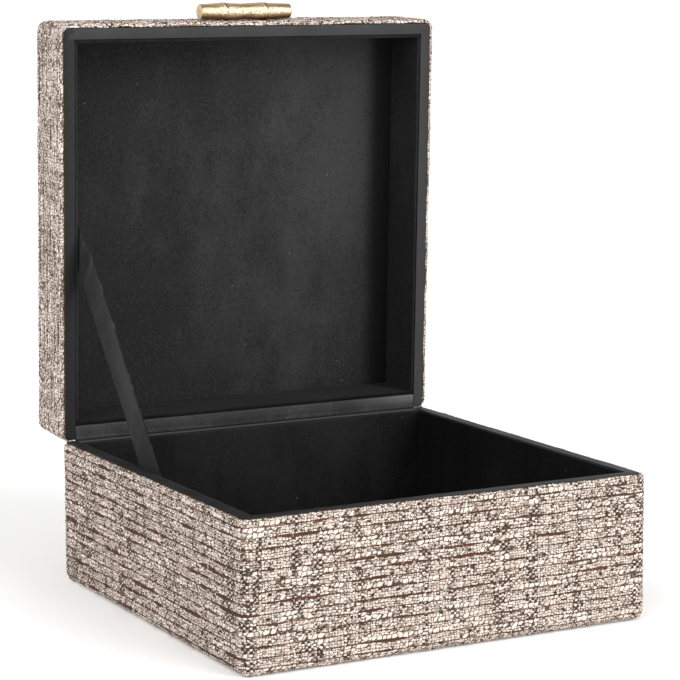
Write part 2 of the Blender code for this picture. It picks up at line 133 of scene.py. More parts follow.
class Recipe:
    """The node tree of one procedural material, with short calls that add a node and feed its inputs."""

    def __init__(self, name: str) -> None:
        """Starts a material with a plain Principled shader.

        Args:
            name: Name of the material.
        """
        self.material = bpy.data.materials.new(name)
        self.material.use_nodes = True
        self.nodes = self.material.node_tree.nodes
        self.links = self.material.node_tree.links
        self.shader = self.nodes["Principled BSDF"]
        coordinates = self.nodes.new("ShaderNodeTexCoord").outputs
        self.place, self.yarns = coordinates["Object"], coordinates["UV"]

    def feed(self, socket: Socket, value: Paint) -> None:
        """Links an input, or sets it to a constant.

        Args:
            socket: The input.
            value: A node's output, a number, a vector, or a colour without its alpha.
        """
        if isinstance(value, Socket):
            self.links.new(value, socket)
        elif isinstance(value, tuple) and len(socket.default_value) == 4:
            socket.default_value = (*value, 1.0)
        else:
            socket.default_value = value

    def add(self, kind: str, inputs: dict[str | int, Paint], **settings: str) -> bpy.types.Node:
        """Adds a shader node.

        Args:
            kind: The node's type, without the words that all shader nodes share.
            inputs: What each input is fed, by its name or number.
            settings: The node's own settings.

        Returns:
            The node.
        """
        node = self.nodes.new(f"ShaderNode{kind}")
        for name, setting in settings.items():
            setattr(node, name, setting)
        for name, value in inputs.items():
            self.feed(node.inputs[name], value)
        return node

    def set(self, **values: Paint) -> None:
        """Feeds the shader's inputs, named with underscores for spaces."""
        for name, value in values.items():
            self.feed(self.shader.inputs[name.replace("_", " ")], value)

    def math(self, operation: str, first: Value, second: Value = 0.0, third: Value = 0.0) -> Socket:
        """Adds a Math node and returns its value."""
        return self.add("Math", dict(enumerate((first, second, third))), operation=operation).outputs[0]

    def times(self, first: Value, second: Value, plus: Value = 0.0) -> Socket:
        """A product, with something added to it."""
        return self.math("MULTIPLY_ADD", first, second, plus)

    def minus(self, first: Value, second: Value) -> Socket:
        """A difference."""
        return self.math("SUBTRACT", first, second)

    def swing(self, value: Value, reach: Value, noise: Socket) -> Socket:
        """Moves a value by how far a noise lies from its average, times a reach."""
        return self.times(self.minus(noise, 0.5), reach, value)

    def vector(self, x: Value = 0.0, y: Value = 0.0, z: Value = 0.0) -> Socket:
        """Combines three values into a vector."""
        return self.add("CombineXYZ", dict(enumerate((x, y, z)))).outputs[0]

    def split(self, vector: Socket) -> tuple[Socket, ...]:
        """Separates a vector into its three values."""
        return tuple(self.add("SeparateXYZ", {0: vector}).outputs)

    def placed(
        self, scale: Point = (1, 1, 1), shift: Point = (0, 0, 0), of: Socket | None = None
    ) -> Socket:
        """Stretches and shifts a vector, or Object coordinates if none is given."""
        inputs = {"Vector": of or self.place, "Scale": scale, "Location": shift}
        return self.add("Mapping", inputs).outputs[0]

    def noise(
        self, scale: float, detail: float = 2.0, rough: float = 0.5, at: Socket | None = None
    ) -> Socket:
        """A Noise texture, about 0.5 on average, over a vector or over Object coordinates."""
        inputs = {"Vector": at or self.place, "Scale": scale, "Detail": detail, "Roughness": rough}
        return self.add("TexNoise", inputs).outputs[0]

    def streaks(
        self, u: Value, v: Value, rate: Pair, layer: float, detail: float = 0.0, rough: float = 0.5
    ) -> Socket:
        """A noise over two values, each times its rate, in a layer of its own."""
        at = self.vector(self.times(u, rate[0]), self.times(v, rate[1]), layer)
        return self.noise(1.0, detail, rough, at)

    def cells(self, scale: float, feature: str = "F1") -> Socket:
        """A Voronoi texture's distance over Object coordinates."""
        inputs = {"Vector": self.place, "Scale": scale}
        return self.add("TexVoronoi", inputs, feature=feature).outputs["Distance"]

    def ramp(self, value: Value, low: float, high: float, start: float = 0.0, end: float = 1.0) -> Socket:
        """Maps a value from low..high to start..end along a smooth step, clamped."""
        inputs = {"Value": value, "From Min": low, "From Max": high, "To Min": start, "To Max": end}
        return self.add("MapRange", inputs, interpolation_type="SMOOTHSTEP").outputs[0]

    def blend(self, share: Value, first: Paint, second: Paint) -> Socket:
        """Mixes two colours by a share of the second."""
        return self.add("Mix", {0: share, 6: first, 7: second}, data_type="RGBA").outputs[2]

    def coat(
        self, under: Paint, paint: Paint, value: Value, low: float, high: float, share: float = 1.0
    ) -> Socket:
        """Covers a colour with up to a share of another, where a value runs from low to high."""
        return self.blend(self.ramp(value, low, high, 0.0, share), under, paint)

    def palette(self, value: Socket, stops: dict[float, Colour]) -> Socket:
        """Picks one of several colours by a value, with hard steps between them.

        Args:
            value: What picks the colour.
            stops: The colours, by the value that each starts at.

        Returns:
            The colour.
        """
        node = self.add("ValToRGB", {0: value})
        node.color_ramp.interpolation = "CONSTANT"
        elements = node.color_ramp.elements
        while len(elements) < len(stops):
            elements.new(0.5)
        for element, (position, colour) in zip(elements, stops.items()):
            element.position = position
            element.color = (*colour, 1.0)
        return node.outputs[0]

    def bump(self, height: Socket, distance: float, strength: float) -> None:
        """Adds a Bump node before the shader's normal, on top of any that is there.

        Args:
            height: Height from 0 to 1.
            distance: What a height of 1 stands for, in metres.
            strength: Share of the bump that shows.
        """
        node = self.add("Bump", {"Height": height, "Distance": distance, "Strength": strength})
        normal = self.shader.inputs["Normal"]
        if normal.links:
            self.links.new(normal.links[0].from_socket, node.inputs["Normal"])
        self.links.new(node.outputs[0], normal)


def dimmed(colour: Colour, share: float) -> Colour:
    """A colour times a share."""
    return tuple(share * part for part in colour)


class Finish:
    """What every finish does: it paints a recipe and hands out the material."""

    def paint(self, mix: Recipe) -> None:
        """Adds the finish's own nodes to a recipe."""
        raise NotImplementedError

    def material(self, name: str) -> bpy.types.Material:
        """Makes a material.

        Args:
            name: Name of the material.

        Returns:
            The material.
        """
        mix = Recipe(name)
        self.paint(mix)
        return mix.material


@dataclass(frozen=True)
class TweedFinish(Finish):
    """Boucle tweed, drawn in yarn units of the piece's own UV map, with u along the weft.

    The left wall starts at u = left_wall. Its slubs are left_slubs times as thick, and left_painted_light
    lays white over it as painted light.
    """

    white: Colour = (0.795, 0.688, 0.617)
    cream: Colour = (0.78, 0.655, 0.57)
    blush: Colour = (0.62, 0.50, 0.42)
    shade: Colour = (0.36, 0.28, 0.225)
    tan: Colour = (0.42, 0.31, 0.16)
    coal: Colour = (0.036, 0.026, 0.020)
    gap: Colour = (0.066, 0.047, 0.036)
    slub: Colour = (0.070, 0.036, 0.021)
    slub_red: Colour = (0.096, 0.039, 0.025)
    rows_per_repeat: float = 3.0
    stray: float = 0.5
    fine_rate: float = 1.18
    coarse_rate: float = 0.66
    left_wall: Pair = (358.0, 362.0)
    left_slubs: float = 1.5
    # Share of white laid over the left wall's small loops: painted light.
    left_painted_light: float = 0.0

    def loops(self, mix: Recipe, vector: Socket, line: float) -> tuple[Socket, ...]:
        """One size of loops: irregular cells with dark lines between them.

        Args:
            mix: The recipe that they are added to.
            vector: Coordinates in cells.
            line: Half the width of the lines between them, in cells.

        Returns:
            The loops' mask and three values from 0 to 1 that are even within each cell.
        """
        inputs = {"Vector": vector, "Scale": 1.0, "Randomness": self.stray}
        edge = mix.add("TexVoronoi", inputs, feature="DISTANCE_TO_EDGE")
        cell = mix.add("TexVoronoi", inputs)
        outline = mix.ramp(edge.outputs["Distance"], 0.1 * line, 1.8 * line)
        mask = mix.times(outline, mix.ramp(cell.outputs["Distance"], 0.74, 0.46))
        return (mask, *mix.add("SeparateColor", {0: cell.outputs["Color"]}).outputs)

    def paint(self, mix: Recipe) -> None:
        """Adds loops of two sizes, darker checks in stripes, and long slubs between the rows.

        Args:
            mix: The recipe.
        """
        u, v, _ = mix.split(mix.yarns)
        left = mix.ramp(u, *self.left_wall)
        v = mix.swing(v, 1.0, mix.noise(0.16, at=mix.placed((0.5, 1, 1), of=mix.yarns)))
        u = mix.swing(u, 1.2, mix.noise(0.35, at=mix.placed(shift=(31, 7, 0), of=mix.yarns)))
        fine_v, coarse_v = mix.times(v, 4 / 3), mix.times(v, 2 / 3)
        lean = mix.times(mix.math("FRACT", fine_v), -0.32)
        fine = mix.vector(mix.times(u, self.fine_rate, lean), fine_v)
        small, pick, tone, _ = self.loops(mix, fine, 0.085)
        lean = mix.times(mix.math("FRACT", coarse_v), -0.36)
        coarse = mix.vector(mix.times(u, self.coarse_rate, lean), coarse_v, 5.0)
        large, pick_large, *_ = self.loops(mix, coarse, 0.08)
        big = mix.ramp(mix.streaks(u, mix.math("FLOOR", coarse_v), (0.075, 7.3), 1.0, 1.0), 0.55, 0.58)
        # curl darkens part of each loop below, the small ones towards the gap colour and the large ones
        # towards the shade colour: painted shade in the hollows of the curls. It also shapes the bump.
        along = mix.times(v, 0.75, mix.times(u, 0.65))
        across = mix.times(v, -2.0, mix.times(u, 2.3))
        curl = mix.ramp(mix.noise(1.3, 2.0, 0.6, mix.vector(along, across, 8.0)), 0.35, 0.46)

        stops = {0.0: self.coal, 0.018: self.tan, 0.022: self.shade, 0.07: self.blush, 0.26: self.cream}
        loop = mix.palette(pick, {**stops, 0.58: self.white})
        check = mix.math("ADD", mix.math("FLOOR", mix.times(u, self.fine_rate)), mix.math("FLOOR", fine_v))
        stripe = mix.ramp(mix.streaks(u, v, (0.30, 0.020), 3.0), 0.54, 0.60)
        dark_end = mix.times(stripe, mix.ramp(tone, 0.34, 0.38))
        dark_end = mix.times(dark_end, mix.math("FLOORED_MODULO", check, 2.0))
        loop = mix.coat(mix.blend(dark_end, loop, self.coal), self.gap, curl, 1.0, 0.0, 0.72)
        stops = {0.0: self.shade, 0.03: self.blush, 0.20: self.cream, 0.46: self.white}
        large_loop = mix.coat(mix.palette(pick_large, stops), self.shade, curl, 1.0, 0.0, 0.50)
        colour = mix.blend(big, mix.blend(small, self.gap, loop), mix.blend(large, self.gap, large_loop))
        # Painted light: white over the small loops of the left wall.
        if self.left_painted_light:
            colour = mix.blend(mix.times(mix.times(left, self.left_painted_light), small), colour, self.white)

        repeat = mix.math("DIVIDE", v, self.rows_per_repeat)
        nearest = mix.math("ROUND", repeat)
        off_line = mix.times(mix.math("ABSOLUTE", mix.minus(repeat, nearest)), self.rows_per_repeat)
        thick = mix.ramp(mix.streaks(u, nearest, (0.070, 13.7), 0.0, 2.0, 0.6), 0.48, 0.70, 0.13, 0.47)
        thick = mix.times(thick, mix.times(left, self.left_slubs - 1.0, 1.0))
        ragged = mix.swing(off_line, mix.times(left, 0.75, 0.50), mix.noise(1.5, 3.0, 0.7, mix.yarns))
        crossed = mix.ramp(mix.streaks(u, nearest, (0.9, 1.0), 4.0), 0.30, 0.36, 0.25, 1.0)
        line = mix.times(mix.ramp(mix.minus(thick, ragged), -0.06, 0.05), crossed)
        hue = mix.streaks(u, nearest, (0.09, 5.3), 9.0, 2.0)
        accent = mix.coat(self.slub, self.slub_red, hue, 0.53, 0.60)
        colour = mix.blend(line, colour, accent)

        mix.set(Base_Color=colour, Roughness=0.92, Specular_IOR_Level=0.16)
        mix.set(Sheen_Weight=0.03, Sheen_Roughness=0.5)
        relief = mix.times(curl, 0.35, mix.math("MAXIMUM", small, mix.times(big, large)))
        mix.bump(mix.times(line, -0.4, relief), 0.0005, 0.5)


@dataclass(frozen=True)
class SuedeFinish(Finish):
    """Napped black suede with brushed patches, flattened dark spots and pale fluff specks.

    A depth below 1 darkens it; on the lining cards it is painted shade, set for each side. The fields from
    cut_edge on
    are for one piece each: where the frayed edge of a ribbon starts, how much painted light a panel gets
    along x and z, where its painted shadow band starts, and the level of a fold, with painted light above it
    and painted shade below.
    """

    colour: Colour = (0.0165, 0.0165, 0.0172)
    brushed: Colour = (0.0400, 0.0400, 0.0415)
    # Pale grey for fluff specks and frayed edges, and for the painted light above a fold.
    lint_and_highlight: Colour = (0.15, 0.15, 0.15)
    # Near black for flattened spots and frayed edges, and for the painted shadow band and the painted shade
    # below a fold.
    crushed_and_shade: Colour = (0.004, 0.004, 0.004)
    patch: float = 14.0
    nap: float = 0.7
    nap_noise: float = 0.9
    depth: float = 1.0
    cut_edge: float = 0.0
    lean: Pair = (0.0, 0.0)
    shade: float = 0.0
    fold: float = 0.0

    def paint(self, mix: Recipe) -> None:
        """Adds the nap's light and dark patches, its specks, and what its piece alone has.

        Args:
            mix: The recipe, on Object coordinates.
        """
        dark, pale = dimmed(self.colour, self.depth), dimmed(self.brushed, self.depth)
        x, _, z = mix.split(mix.place)
        swept = mix.noise(self.patch, 5.0, 0.62, mix.placed((1, 1, 0.8)))
        strokes = mix.noise(5.0 * self.patch, 3.0, 0.6, mix.placed((1, 1, 0.30), (7, 3, 1)))
        grain = mix.noise(420.0, 3.0, 0.65)
        fibre = mix.noise(1900.0, 2.0, 0.6, mix.placed((1, 1, 0.35)))
        light = mix.times(mix.ramp(swept, 0.38, 0.68), self.nap)
        # Painted light: a panel with lean grows lighter towards +x and towards its top, as light falls on
        # it.
        if any(self.lean):
            light = mix.times(x, self.lean[0] / WIDTH, light)
            light = mix.times(mix.minus(z, HINGE_Z + DEPTH / 2), self.lean[1] / DEPTH, light)
        for noise in (strokes, grain, fibre):
            light = mix.swing(light, self.nap_noise, noise)
        colour = mix.blend(mix.math("MAXIMUM", light, 0.0), dark, pale)
        speck = mix.noise(800.0, 2.0, 0.7)
        colour = mix.coat(colour, self.crushed_and_shade, speck, 0.50, 0.28, 0.60)
        colour = mix.coat(colour, pale, speck, 0.52, 0.75, 0.70)
        rare = mix.ramp(mix.noise(60.0, 1.0), 0.50, 0.62)
        colour = mix.blend(mix.times(mix.ramp(mix.cells(105.0), 0.052, 0.030), rare), colour, self.lint_and_highlight)
        if self.cut_edge:
            side = mix.math("ABSOLUTE", mix.split(mix.yarns)[1])
            fray = mix.times(mix.noise(500.0, 3.0), 0.0012, side)
            edge = mix.coat(self.crushed_and_shade, self.lint_and_highlight, mix.noise(170.0, 4.0, 0.7), 0.48, 0.66, 0.35)
            colour = mix.coat(colour, edge, fray, self.cut_edge - 0.0001, self.cut_edge + 0.0004, 0.6)
        # Painted shadow: from x = shade on, the panel darkens towards its right wall, whose shadow falls
        # there.
        if self.shade:
            colour = mix.coat(colour, self.crushed_and_shade, x, self.shade, self.shade + 0.0125, 0.92)
        # Painted light and shade on the hinge strip: lighter above the fold's level, most towards its right
        # end, and near black just below that level, where the fold lies in shadow.
        if self.fold:
            lit_above_fold = mix.ramp(z, self.fold, self.fold + 0.008, 0.0, 0.55)
            colour = mix.blend(mix.times(lit_above_fold, mix.ramp(x, 0.070, 0.118, 0.25, 1.25)), colour, self.lint_and_highlight)
            colour = mix.coat(colour, self.crushed_and_shade, z, self.fold + 0.0010, self.fold + 0.0002, 0.95)
        rough = mix.ramp(swept, 0.3, 0.7, 0.95, 0.82)
        gloss = 0.22 * self.depth
        mix.set(Base_Color=colour, Roughness=rough, Sheen_Weight=gloss, Sheen_Roughness=0.35)
        mix.set(Sheen_Tint=(0.80, 0.80, 0.84), Specular_IOR_Level=gloss)
        mix.bump(grain, 0.0004, 0.35)
        mix.bump(fibre, 0.0001, 0.5)


@dataclass(frozen=True)
class LeatheretteFinish(Finish):
    """Coated cloth on the rims: charcoal, faintly pebbled, scuffed lighter here and there."""

    colour: Colour = (0.0110, 0.0112, 0.0116)
    scuff: Colour = (0.030, 0.031, 0.032)
    # Below 1 it darkens the rim as painted shade, set for each side.
    depth: float = 1.0

    def paint(self, mix: Recipe) -> None:
        """Adds the scuffs and the pebbled grain.

        Args:
            mix: The recipe, on Object coordinates.
        """
        dark, pale = dimmed(self.colour, self.depth), dimmed(self.scuff, self.depth)
        wave = mix.noise(45.0, 3.0)
        marks = mix.noise(260.0, 5.0, 0.7)
        colour = mix.coat(mix.coat(dark, pale, marks, 0.60, 0.74, 0.65), pale, wave, 0.35, 0.65, 0.18)
        rough = mix.ramp(wave, 0.3, 0.7, 0.48, 0.62)
        mix.set(Base_Color=colour, Roughness=rough, Specular_IOR_Level=0.36 * self.depth)
        mix.bump(mix.cells(1500.0, "SMOOTH_F1"), 0.0002, 0.35)
        mix.bump(marks, 0.0003, 0.25)


@dataclass(frozen=True)
class GiltFinish(Finish):
    """Gold leaf over a cast bar: bright facets, duller hollows and small brown pits, with painted shade
    above and below its front and a painted reflection along its top.

    The bar runs along x at y = middle and z = level, and has a slanting node at node_at on either side.
    """

    middle: float
    level: float
    bright: Colour = (1.0, 0.89, 0.66)
    # Darker gold for duller leaf, also laid on as painted shade above and below the bar's front.
    deep: Colour = (0.46, 0.33, 0.175)
    # Dark brown for pits and node marks, also laid on as painted shade.
    pit_and_shade: Colour = (0.20, 0.115, 0.055)
    # Pale colour along the bar's top: a painted reflection.
    top_reflection: Colour = (0.80, 0.66, 0.52)
    flake: float = 600.0
    radius: float = 0.0049
    node_at: float = 0.0135
    slant: float = 0.0022
    roundness: float = 0.905

    def paint(self, mix: Recipe) -> None:
        """Adds the leaf, painted shade in bands above and below the bar's front, a painted reflection along
        its top, and the marks at its nodes.

        Args:
            mix: The recipe, on Object coordinates.
        """
        x, y, z = mix.split(mix.place)
        high = mix.minus(z, self.level)
        leaf = mix.noise(self.flake, 4.0, 0.65, mix.placed((1.6, 1, 1)))
        # turned is low on the bar's front and rises to 1 at its top and bottom, where the coats below lay
        # painted shade.
        out = mix.math("ABSOLUTE", mix.minus(y, self.middle))
        turned = mix.times(out, -self.roundness / self.radius, 1.0)
        ragged = mix.swing(turned, 0.45, leaf)
        colour = mix.coat(self.deep, self.bright, leaf, 0.40, 0.60)
        # The coats on ragged are painted shade above and below the bar's front, and the last coat is a
        # painted reflection along its top.
        for paint, value, low, top, share in (
            (self.deep, mix.noise(150.0, 3.0, 0.6), 0.52, 0.75, 0.50),
            (self.pit_and_shade, mix.noise(900.0, at=mix.placed(shift=(3, 5, 7))), 0.63, 0.70, 0.80),
            (self.deep, ragged, 0.08, 0.22, 0.75),
            (self.pit_and_shade, ragged, 0.17, 0.38, 0.80),
            (self.top_reflection, high, 0.0030, 0.0048, 0.75),
        ):
            colour = mix.coat(colour, paint, value, low, top, share)
        across = mix.times(mix.math("MAXIMUM", high, 0.0), self.slant / self.radius, x)
        away = mix.math("ABSOLUTE", mix.minus(mix.math("ABSOLUTE", across), self.node_at))
        after = mix.math("MODULO", mix.math("ADD", across, 3 * self.node_at), 2 * self.node_at)
        for paint, value, span, levels, share in (
            (self.pit_and_shade, after, (0.0042, 0.0004), (0.0006, 0.0024), 0.85),
            (self.bright, away, (0.00055, 0.00020), (0.0, 0.0012), 0.60),
            (self.pit_and_shade, away, (0.00045, 0.00015), (0.0010, 0.0), 0.50),
        ):
            mark = mix.times(mix.ramp(value, *span), mix.ramp(high, *levels, 0.0, share))
            colour = mix.blend(mark, colour, paint)
        mix.set(Base_Color=colour, Roughness=mix.ramp(leaf, 0.35, 0.65, 0.46, 0.28), Metallic=1.0)
        mix.bump(leaf, 0.0006, 0.55)


@dataclass(frozen=True)
class SatinMetalFinish(Finish):
    """Turned metal with fine concentric or lengthwise marks."""

    colour: Colour = (0.80, 0.62, 0.38)
    dull: Colour = (0.58, 0.42, 0.24)
    roughness: float = 0.38

    def paint(self, mix: Recipe) -> None:
        """Adds the marks and a faint cloud.

        Args:
            mix: The recipe, on Object coordinates.
        """
        marks = mix.noise(2600.0, 3.0, 0.6, mix.placed((0.2, 1, 1)))
        colour = mix.coat(self.colour, self.dull, mix.noise(330.0), 0.3, 0.7, 0.7)
        rough = mix.ramp(marks, 0.3, 0.7, self.roughness - 0.08, self.roughness + 0.12)
        mix.set(Base_Color=colour, Roughness=rough, Metallic=1.0)
        mix.bump(marks, 0.0001, 0.3)


@dataclass(frozen=True)
class FibreFinish(Finish):
    """Pressed or felted fibre: flecked board, or the felt under the base."""

    colour: Colour
    fleck: Colour
    scale: float

    def paint(self, mix: Recipe) -> None:
        """Adds the flecks and a faint cloud.

        Args:
            mix: The recipe, on Object coordinates.
        """
        fibre = mix.noise(self.scale, 5.0, 0.7, mix.placed((1, 0.4, 1)))
        colour = mix.coat(self.colour, self.fleck, fibre, 0.42, 0.66)
        colour = mix.coat(colour, self.colour, mix.noise(30.0), 0.35, 0.7, 0.2)
        mix.set(Base_Color=colour, Roughness=0.93, Specular_IOR_Level=0.2)
        mix.bump(fibre, 0.0004, 0.5)


# Seats and modelling helpers


@dataclass(frozen=True)
class Seat:
    """Where a tray's own frame (x, y, w) lies in the row frame, and which half of the box it is."""

    half: Half

    @property
    def name(self) -> str:
        """Name of the half."""
        return self.half.value

    @property
    def matrix(self) -> Matrix:
        """The transform from the tray's frame to the row frame. The base's is a mirror."""
        if self.half is Half.BASE:
            return Matrix.Translation((0, 0, BASE_HEIGHT)) @ Matrix.Diagonal((1, 1, -1, 1))
        hinge = Matrix.Translation((0, HINGE_Y, HINGE_Z))
        return hinge @ Matrix.Rotation(-OPEN_ANGLE, 4, "X") @ Matrix.Translation((0, -HINGE_Y, RIM_GAP / 2))

    @property
    def skin(self) -> float:
        """Level of the cloth's outer face on the closed side."""
        return BASE_SKIN if self.half is Half.BASE else LID_HEIGHT


BASE_SEAT = Seat(Half.BASE)
LID_SEAT = Seat(Half.LID)


def pick(*objects: Piece) -> None:
    """Selects only these objects, with the first one active."""
    bpy.ops.object.select_all(action="DESELECT")
    for obj in objects:
        obj.select_set(True)
    bpy.context.view_layer.objects.active = objects[0]


def add_object(name: str, data: bpy.types.ID) -> Piece:
    """Adds an object to the scene for a mesh, a camera or a light."""
    obj = bpy.data.objects.new(name, data)
    bpy.context.scene.collection.objects.link(obj)
    return obj


def add_primitive(add: Callable, **shape: object) -> Piece:
    """Adds a primitive with its place, turn and scale applied to its mesh.

    Args:
        add: The operator that adds it.
        shape: What the operator is given.

    Returns:
        The new object.
    """
    add(**shape)
    bpy.ops.object.transform_apply(location=True, rotation=True, scale=True)
    return bpy.context.object


def add_block(name: str, low: Iterable[float], high: Iterable[float]) -> Piece:
    """Adds a cube primitive that fills the space between two corners.

    Args:
        name: Name of the object.
        low: Lowest corner.
        high: Highest corner.

    Returns:
        The new object.
    """
    low, high = Vector(low), Vector(high)
    middle = (low + high) / 2
    obj = add_primitive(bpy.ops.mesh.primitive_cube_add, size=1, location=middle, scale=high - low)
    obj.name = obj.data.name = name
    return obj


def join(parts: list[Piece], name: str) -> Piece:
    """Joins several objects.

    Args:
        parts: The objects.
        name: Name of what they become.

    Returns:
        The first of them, which now holds them all.
    """
    pick(*parts)
    bpy.ops.object.join()
    parts[0].name = parts[0].data.name = name
    return parts[0]


@contextmanager
def editing(obj: Piece, kind: str = "FACE", test: Callable | None = None) -> Iterator[None]:
    """Holds an object in edit mode with some of its faces or edges selected.

    Args:
        obj: Mesh object to edit.
        kind: FACE or EDGE.
        test: Returns whether a BMFace or BMEdge is wanted. Without it all are.
    """
    pick(obj)
    bpy.ops.object.mode_set(mode="EDIT")
    bpy.ops.mesh.select_mode(type=kind)
    bpy.ops.mesh.select_all(action="DESELECT" if test else "SELECT")
    if test:
        cage = bmesh.from_edit_mesh(obj.data)
        for part in cage.faces if kind == "FACE" else cage.edges:
            part.select_set(test(part))
        bmesh.update_edit_mesh(obj.data)
    yield
    bpy.ops.object.mode_set(mode="OBJECT")


def divide(obj: Piece, axis: Axis, cuts: int) -> None:
    """Cuts all edges that run along one axis into equal lengths.

    Args:
        obj: The mesh object.
        axis: The axis.
        cuts: Number of cuts in each edge.
    """
    def runs_along(edge: bmesh.types.BMEdge) -> bool:
        """Whether an edge lies along the axis."""
        step = edge.verts[1].co - edge.verts[0].co
        return abs(step[axis.value]) > 0.99 * step.length

    with editing(obj, "EDGE", runs_along):
        bpy.ops.mesh.subdivide(number_cuts=cuts)


def slice_at(obj: Piece, point: Iterable[float], away: Iterable[float], clear: bool = False) -> None:
    """Bisects a mesh by a plane, and with clear drops the side that away points to and closes the cut."""
    with editing(obj):
        bpy.ops.mesh.bisect(plane_co=point, plane_no=away, use_fill=clear, clear_outer=clear)


def modify(obj: Piece, kind: str, **settings: object) -> None:
    """Adds a modifier and applies it.

    Args:
        obj: The mesh object.
        kind: The modifier's type.
        settings: The modifier's own settings.
    """
    pick(obj)
    modifier = obj.modifiers.new(kind.lower(), kind)
    for name, value in settings.items():
        setattr(modifier, name, value)
    bpy.ops.object.modifier_apply(modifier=modifier.name)


def round_edges(obj: Piece, width: float, segments: int, angle: float = 50.0) -> None:
    """Bevels the edges sharper than an angle in degrees."""
    limit = math.radians(angle)
    modify(obj, "BEVEL", width=width, segments=segments, limit_method="ANGLE", angle_limit=limit)


def face_out(obj: Piece, merge: float = 0.0) -> None:
    """Turns all faces of a closed mesh outwards.

    Args:
        obj: The mesh object.
        merge: Distance within which points become one before that, or 0 for none.
    """
    with editing(obj):
        if merge:
            bpy.ops.mesh.remove_doubles(threshold=merge)
            bpy.ops.mesh.dissolve_degenerate(threshold=merge)
            bpy.ops.mesh.select_all(action="SELECT")
        bpy.ops.mesh.normals_make_consistent(inside=False)


def seat_down(obj: Piece, seat: Seat) -> None:
    """Moves a mesh that was made in a tray's frame to its place in the row frame."""
    obj.data.transform(seat.matrix)
    face_out(obj)


def soften(obj: Piece, angle: float = 50.0) -> None:
    """Shades smooth, apart from edges sharper than an angle in degrees."""
    pick(obj)
    bpy.ops.object.shade_smooth_by_angle(angle=math.radians(angle))


def points_of(obj: Piece) -> np.ndarray:
    """Reads the points of a mesh.

    Args:
        obj: The mesh object.

    Returns:
        Array of n points.
    """
    flat = np.empty(len(obj.data.vertices) * 3)
    obj.data.vertices.foreach_get("co", flat)
    return flat.reshape(-1, 3)


def move_points(obj: Piece, points: np.ndarray) -> None:
    """Writes points back to a mesh."""
    obj.data.vertices.foreach_set("co", points.ravel())
    obj.data.update()


def ripple(points: np.ndarray, wave: float, seed: int, count: int = 24) -> np.ndarray:
    """A smooth field of about -1 to 1 over points, as a sum of plane waves.

    Args:
        points: Array of n points.
        wave: Typical wavelength in metres.
        seed: Picks the field.
        count: Number of waves.

    Returns:
        Array of n values.
    """
    rng = np.random.default_rng(seed)
    heading = rng.normal(size=(count, 3))
    heading /= np.linalg.norm(heading, axis=1)[:, None]
    rate = math.tau / (wave * (0.6 + 1.2 * rng.random(count)))
    phase = math.tau * rng.random(count)
    waves = np.sin((points @ heading.T) * rate + phase)
    return waves.sum(axis=1) / math.sqrt(count / 2) / 2


def cover(obj: Piece, material: bpy.types.Material) -> None:
    """Puts a material into all of an object's slots.

    Args:
        obj: The object, which is given one slot if it has none.
        material: The material.
    """
    slots = obj.data.materials
    if not slots:
        slots.append(material)
    for index in range(len(slots)):
        slots[index] = material


def dress(
    obj: Piece, material: bpy.types.Material, node: str, half: Half | None = None
) -> None:
    """Gives a finished piece its material, hides the node it stands for, puts it on its body, and reports
    it.

    Args:
        obj: The finished piece.
        material: Its material.
        node: CAD node that it stands for.
        half: The half it rides on, or None where it spans the hinge.
    """
    cover(obj, material)
    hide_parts(node)
    if half:
        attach(obj, half.value)
    LOG.info("%s: %d faces, stands for %s", obj.name, len(obj.data.polygons), node)


def blend_across(obj: Piece) -> None:
    """Bakes the transform of a piece that spans the hinge into its mesh."""
    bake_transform(obj)


# Woven cloth


@dataclass(frozen=True)
class Weave:
    """Relief of the tweed on a grid with two points for each yarn: odd points are the crowns of floats."""

    crown: float = 0.00030
    side: float = 0.00012
    gap: float = 0.00034
    stray: float = 0.00009
    slub: float = 0.00022

    def relief(self, shape: tuple[int, int], seed: int, ring: bool = False) -> np.ndarray:
        """Heights over the cloth's mean face.

        Args:
            shape: Points across the rows of weft, and along the weft.
            seed: Picks the yarns.
            ring: Whether the last column meets the first.

        Returns:
            Array of heights.
        """
        rng = np.random.default_rng(seed)
        height = np.full(shape, -self.side)
        height[::2, ::2] = -self.gap
        crowns = height[1::2, 1::2]
        crowns[:] = self.crown * (0.45 + 0.9 * rng.random(crowns.shape))
        knots = rng.random(((shape[0] - 1) // 2 + 1, (shape[1] - 1) // 12 + 3))
        at = np.linspace(0, knots.shape[1] - 1.001, shape[1])
        for row in range(1, shape[0], 2):
            run = np.interp(at, np.arange(knots.shape[1]), knots[row // 2])
            height[row] += self.slub * np.clip((run - 0.62) * 4.0, -0.3, 1.0)
        height += self.stray * rng.normal(size=shape)
        if ring:
            height[:, -1] = height[:, 0]
        return height

    def drift(self, shape: tuple[int, int], seed: int, ring: bool = False) -> np.ndarray:
        """Small sideways strays of the points, with none on a grid's border or a ring's two end rows.

        Args:
            shape: Rows and columns of points.
            seed: Picks the strays.
            ring: Whether the last column meets the first.

        Returns:
            Array of shape + (2,) offsets along the weft and across it.
        """
        rng = np.random.default_rng(seed)
        offsets = 1.3 * self.stray * rng.normal(size=(*shape, 2))
        offsets[0] = offsets[-1] = 0.0
        if not ring:
            offsets[:, 0] = 0.0
        offsets[:, -1] = offsets[:, 0]
        return offsets


def yarn_marks(shape: tuple[int, int], column: float = 0.0, row: float = 0.0) -> np.ndarray:
    """Yarn coordinates of a grid of points, half a yarn apart, from a first column and row on."""
    return np.stack(np.meshgrid(np.arange(shape[1]) / 2 + column, np.arange(shape[0]) / 2 + row), axis=2)


def border(grid: np.ndarray) -> np.ndarray:
    """The border of a grid, once round from its first entry and back to it."""
    return np.concatenate([grid[0, :-1], grid[:-1, -1], grid[-1, :0:-1], grid[::-1, 0]])


